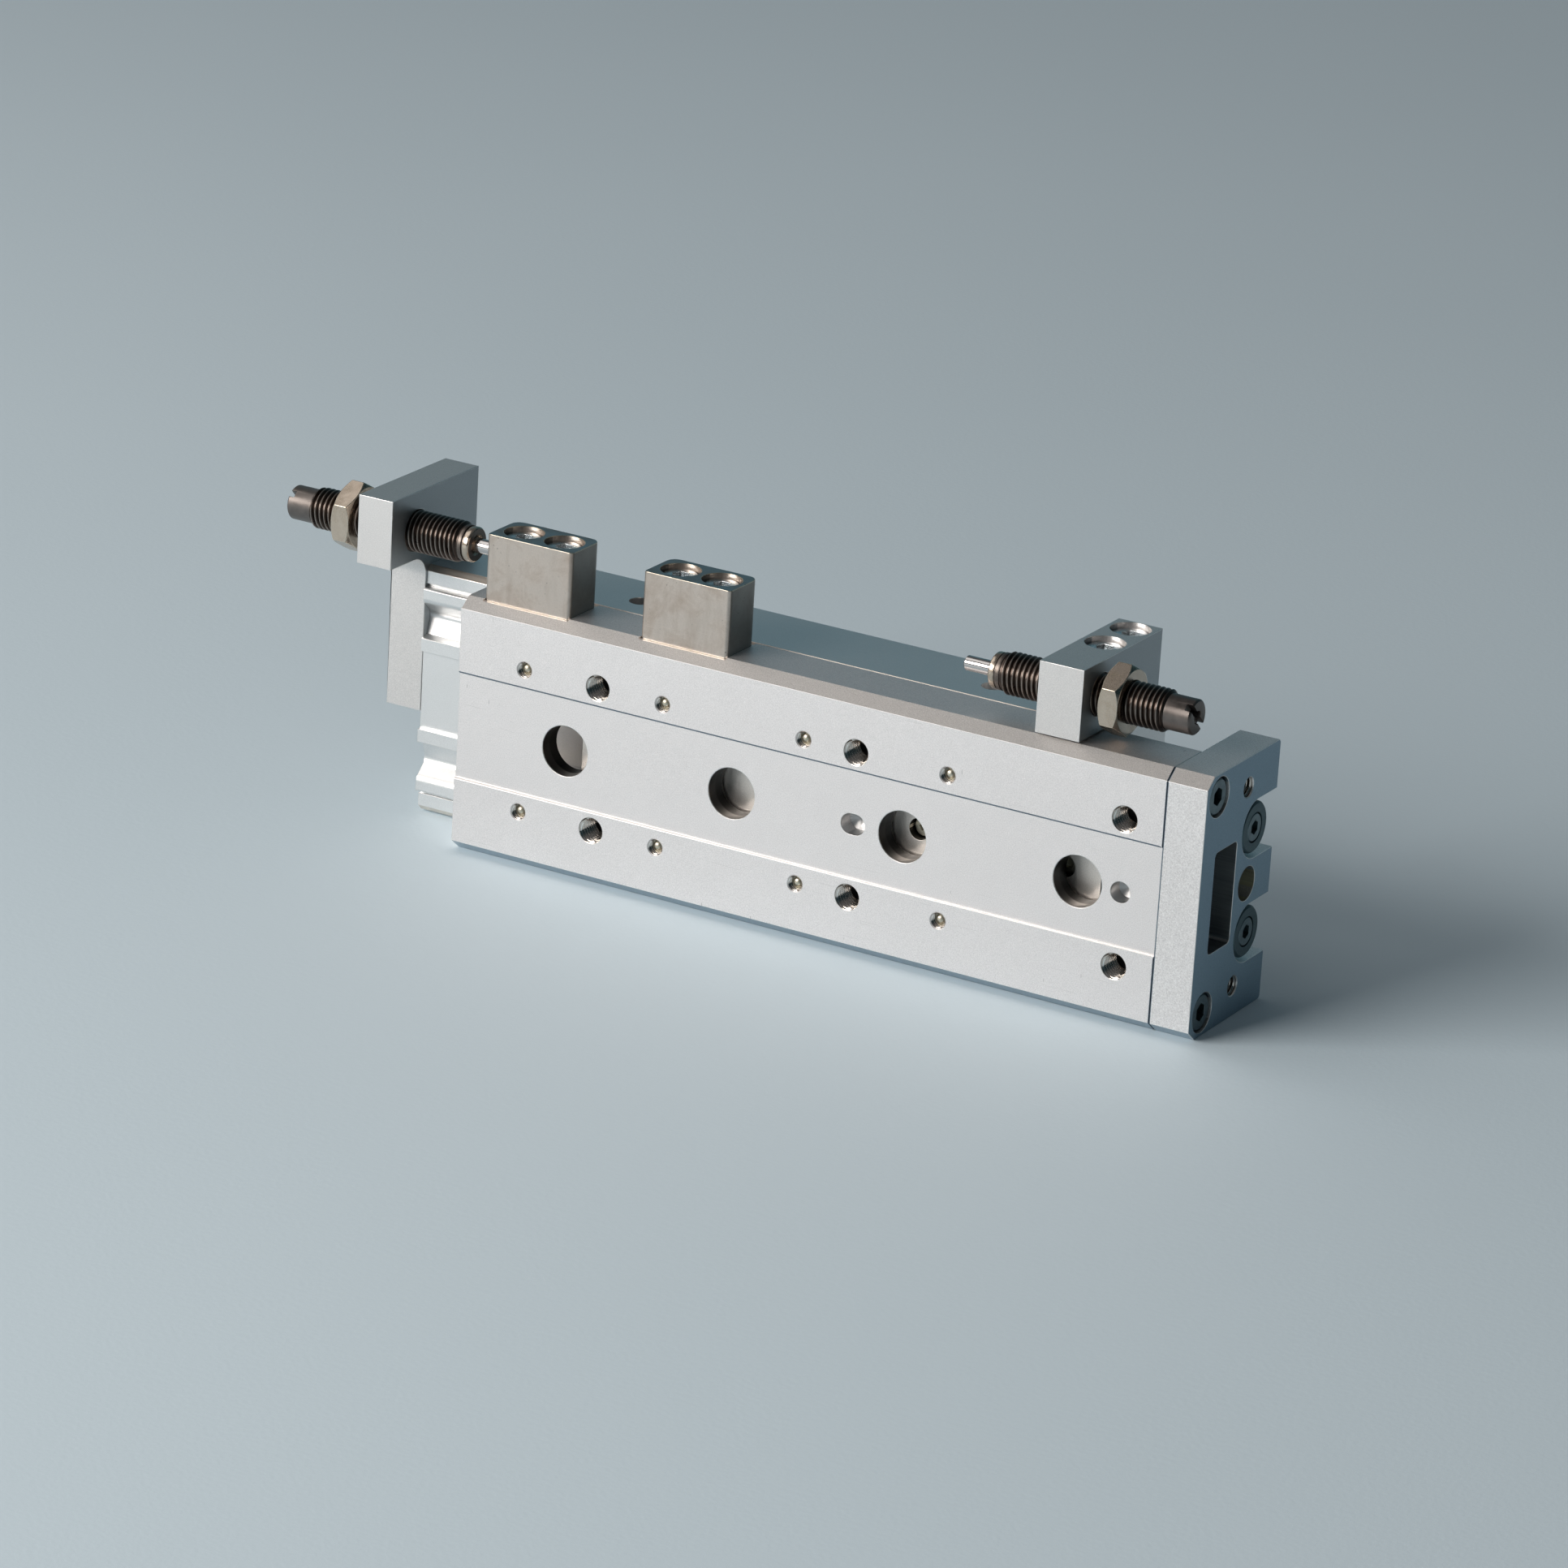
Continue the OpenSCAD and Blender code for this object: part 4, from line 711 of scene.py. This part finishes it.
t_hi = node_box("table")[1]
p_lo, p_hi = node_box("end_plate")
ACCESS = [(x, 0) for x in ACCESS_XS]
BOLTS = [(x, z) for x in BOLT_XS for z in (-BOLT_ROW, BOLT_ROW)]
RAIL_SCREWS = [(x, z) for x in RAIL_SCREW_XS for z in (-BOLT_ROW, BOLT_ROW)]
PLATE_TAPS = [(PLATE_TAP_Y, z) for z in (-PLATE_TAP_Z, PLATE_TAP_Z)]
# Thread finishes: the flanks, a painted highlight for the crests and painted shade for the roots
THREAD_FINISHES = ["milled_aluminium", "thread_crest", "thread_root"]
# The real threads in the tapped holes
M5 = dict(root=2.5, crest=2.08, pitch=0.8, hidden=2.58, n=40, mouth0=BOLT_OPEN_R, painted_shades=True)
M4 = dict(root=2.0, crest=1.65, pitch=0.7, hidden=2.08, n=40, mouth0=2.05, painted_shades=True)
M3 = dict(root=1.47, crest=1.22, pitch=0.5, hidden=1.53, n=32, mouth0=1.5, painted_shades=True)
# The upper edge of the face of both the table and the end plate
face_top = edge_where(lambda c: abs(c.z - FACE_HALF) < 0.1 and c.y < 0.1)

# Table: bolt holes opened to the thread's outer radius, so that real threads fit in them
bm = lift("table")
for x, z in BOLTS:
    resize_hole(bm, 1, (x, 0, z), BOLT_R, BOLT_OPEN_R, lambda c: c.y < BOLT_DEPTH + 0.1)
flatten(bm)
upper_step = edge_where(lambda c: abs(c.z - STEP_Z) < 0.05 and c.y < 0.05)
lower_step = edge_where(lambda c: abs(c.z + STEP_Z) < 0.05 and c.y < 0.05)
access_rim = edge_where(lambda c: c.y < 0.6 and any(
    abs(math.hypot(c.x - x, c.z - z) - ACCESS_R) < 0.05 for x, z in ACCESS))
front_seam = edge_where(lambda c: abs(c.x - t_hi.x) < 0.01 and c.y < SEAM_DEPTH)
# Roundings of the upper step and the seam get a dark finish, painted shade; those of the lower step and of
# the face's top edge get dimmer finishes, painted shade that tones down their highlights
round_edges(bm, 0.40, segments=3, mat=4, pick=upper_step)
round_edges(bm, 0.42, segments=3, mat=8, pick=lower_step)
round_edges(bm, 0.20, mat=1, pick=access_rim)
round_edges(bm, 0.16, mat=4, pick=front_seam)
round_edges(bm, 0.10, angle=62)
round_edges(bm, 0.08, mat=9, pick=face_top)
# Upper chamfer: its own machined tone, darkened further as painted shade; lower chamfer: painted shade with a
# bluish painted reflection
refinish(bm, 2, chamfer(1))
refinish(bm, 5, chamfer(-1))
# The access holes' walls get painted shade
refinish(bm, 3, wall_test(1, ACCESS, ACCESS_R + 0.05))
refinish(bm, 6, wall_test(1, [(x, 0) for x in PIN_XS], 2.2, flat=True))
# The bolt holes' walls and floors: a near-black finish, painted shade deep in the holes
refinish(bm, 7, wall_test(1, BOLTS, 2.4, flat=True))
emit(bm, "table_milled",
     ["table_aluminium", "edge_aluminium", "chamfer_aluminium", "bore_aluminium", "edge_dark",
      "chamfer_low", "pin_bore", "hole_floor", "edge_soft", "edge_dull"],
     "table", ["table"])

bm = bmesh.new()
for x, z in BOLTS:
    add(bm, thread_ring(0.06, BOLT_DEPTH, **M5), (x, 0, z), "+y")
for x, z in RAIL_SCREWS:
    add(bm, thread_ring(0.12, RAIL_SCREW_THREAD, **M3), (x, 0, z), "+y")
emit(bm, "table_tapped_threads", THREAD_FINISHES, "table", smooth=50, weighted=False)

# End plate
bm = lift("end_plate")
for y, z in PLATE_TAPS:
    resize_hole(bm, 0, (0, y, z), PLATE_TAP_R, PLATE_TAP_OPEN_R, lambda c: True)
flatten(bm)
rear_seam = edge_where(lambda c: abs(c.x - p_lo.x) < 0.01 and c.y < SEAM_DEPTH)
# The seam's rounding gets the dark finish, painted shade; the face's top edge gets the dimmer one, painted
# shade on its highlight
round_edges(bm, 0.26, mat=7, pick=rear_seam)
round_edges(bm, 0.11, angle=62)
round_edges(bm, 0.08, mat=8, pick=face_top)
# Upper chamfer: its own machined tone, darkened further as painted shade; lower chamfer: painted shade with a
# bluish painted reflection
refinish(bm, 2, chamfer(1))
refinish(bm, 5, chamfer(-1))
# Faces turned along X: a dark blue-grey finish, painted shade and painted reflection
refinish(bm, 3, lambda f: abs(f.normal.x) > 0.9)
refinish(bm, 4, wall_test(0, [(PLATE_BORE_Y, 0)], PLATE_BORE_R))
# The window's walls: a dark finish, painted shade inside the opening
refinish(bm, 6, lambda f: abs(f.normal.x) < 0.1 and WINDOW_Y0 < f.calc_center_median().y < WINDOW_Y1
         and abs(f.calc_center_median().z) < WINDOW_HALF)
emit(bm, "end_plate_milled",
     ["plate_aluminium", "edge_aluminium", "chamfer_aluminium", "plate_side", "bore_bronze",
      "chamfer_low", "window_wall", "edge_dark", "edge_dull"],
     "table", ["end_plate"])

bm = bmesh.new()
for y, z in PLATE_TAPS:
    add(bm, thread_ring(0.06, PLATE_TAP_THREAD, **M4), (p_hi.x, y, z), "-x")
emit(bm, "end_plate_tapped_threads", THREAD_FINISHES, "table", smooth=50,
     weighted=False)

# Pieces with rounded edges: the third finish paints shade on sides turned to +X, the fourth a reflection on
# tops
BLOCK = ["block_nickel", "edge_nickel", "block_side", "block_top"]
MOUNT = ["mount_aluminium", "edge_aluminium", "mount_side"]
NUT = ["absorber_nickel", "edge_nickel"]
for node, width, finishes in (
    ("stop_block_rear", 0.16, BLOCK),
    ("stop_block_front", 0.16, BLOCK),
    ("front_holder", 0.13, MOUNT),
    ("rear_bracket", 0.16, MOUNT),
    ("front_lock_nut", 0.10, NUT),
    ("rear_lock_nut", 0.10, NUT),
    # These screws' brighter finish is a painted highlight and reflection on their heads
    ("stop_block_screws", 0.08, ["screw_bright", "screw_bright"]),
    ("front_holder_screws", 0.08, ["screw_bright", "screw_bright"]),
    ("rear_bracket_screws", 0.08, ["screw_zinc", "screw_zinc"]),
    ("end_plate_screws", 0.08, ["screw_dark", "screw_dark"]),
    ("rod_end_screws", 0.06, ["screw_dark", "screw_dark"]),
    ("floating_bushes", 0.08, ["bush_steel", "bush_steel"]),
):
    bm = lift(node)
    flatten(bm)
    round_edges(bm, width)
    if len(finishes) > 2:
        # Painted shade: a darker finish on faces turned to +X
        refinish(bm, 2, lambda f: f.normal.x > 0.9)
    if len(finishes) > 3:
        # Painted reflection: a dark blue-grey finish on the tops, with the block's stains
        refinish(bm, 3, lambda f: f.normal.z > 0.9)
    emit(bm, node + "_finished", finishes, body_of(node), [node])

# Body: the chamfer at the flange's front edge is widened, its outer edge moved in Y and its inner in Z
bm = lift("body")
for v in bm.verts:
    if v.co.y < 13.9 and abs(abs(v.co.z) - 24.6) < 0.02:
        v.co.y = FLANGE_Y
    elif v.co.y < 13.45 and abs(abs(v.co.z) - 24.3) < 0.05:
        v.co.z = math.copysign(FLANGE_Z, v.co.z)
flatten(bm)
round_edges(bm, 0.10)
for f in bm.faces:
    c = f.calc_center_median()
    if 0.3 < abs(f.normal.z) < 0.98 and f.normal.y < -0.2 and c.y < FLANGE_Y and abs(c.z) > 23.5:
        f.material_index = 2
emit(bm, "body_finished", ["body_aluminium", "edge_aluminium", "edge_warm"], "base", ["body"])

# Centre rail, whose screw recesses show through the table's access holes
bm = lift("centre_rail")
flatten(bm)
rail_y = min(v.co.y for v in bm.verts)
rail_x = max(v.co.x for v in bm.verts)
for v in bm.verts:
    if v.co.x > rail_x - 0.01:
        v.co.x = RAIL_END
round_edges(bm, 0.10, mat=0)
# The screw recesses' walls: the near-black finish, painted shade
refinish(bm, 1, lambda f: abs(f.normal.y) < 0.3 and abs(f.calc_center_median().z) < RAIL_RECESS_R
         and f.calc_center_median().y > rail_y + 0.2 and abs(f.normal.x) < 0.995)
emit(bm, "centre_rail_finished", ["guide_steel", "hole_floor"], "base", ["centre_rail"])

# Absorber bushes: bright round the tip, and darker behind it and on the faces turned along X
for node, sign in (("front_absorber_bush", 1), ("rear_absorber_bush", -1)):
    lo, hi = node_box(node)
    tip = lo.x if sign > 0 else hi.x
    bm = lift(node)
    flatten(bm)
    round_edges(bm, 0.06, mat=0)
    refinish(bm, 1, lambda f: (f.calc_center_median().x - tip) * sign > BUSH_TIP or abs(f.normal.x) > 0.9)
    emit(bm, node + "_finished", ["absorber_nickel", "collar_steel"], body_of(node), [node])

# Guide screws, whose domed tips show in the small tapped holes
bm = lift("side_rail_screws")
flatten(bm)
tip_y = min(v.co.y for v in bm.verts)
round_edges(bm, 0.08, mat=0)
dome = [(0.0, 0.0), (0.03, 0.26), (0.11, 0.50), (0.26, 0.72), (0.42, 0.86), (0.56, 1.0), (0.62, 0.0)]
for x, z in RAIL_SCREWS:
    add(bm, turned(dome, 24), (x, tip_y - 0.6, z), "+y")
emit(bm, "side_rail_screws_finished", ["rail_screw_steel"], "table", ["side_rail_screws"])

# Absorber bodies: the CAD's turned body with its thread cut down to the root, and a helical thread on it
for node, turn, sign in (("front_absorber_body", "+x", 1), ("rear_absorber_body", "-x", -1)):
    lo, hi = node_box(node)
    ay, az = (lo.y + hi.y) / 2, (lo.z + hi.z) / 2
    start = lo.x if sign > 0 else hi.x
    bm = lift(node)
    for v in bm.verts:
        r = math.hypot(v.co.y - ay, v.co.z - az)
        if r > ABSORBER_MOUTH:
            v.co.y = ay + (v.co.y - ay) * ABSORBER_ROOT / r
            v.co.z = az + (v.co.z - az) * ABSORBER_ROOT / r
    flatten(bm)
    round_edges(bm, 0.07, mat=0)
    refinish(bm, 1, lambda f: (f.calc_center_median().x - start) * sign > ABSORBER_TAIL)
    thread = thread_ring(0.25, ABSORBER_THREAD_END, 3.39, 3.995, 1.0, 3.2, n=56,
                         mouth0=ABSORBER_MOUTH, mouth1=ABSORBER_MOUTH)
    add(bm, thread, (start, ay, az), turn)
    emit(bm, node + "_threaded", ["absorber_oxide", "absorber_tail"], body_of(node), [node],
         smooth=40, weighted=False)

lo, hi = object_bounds()
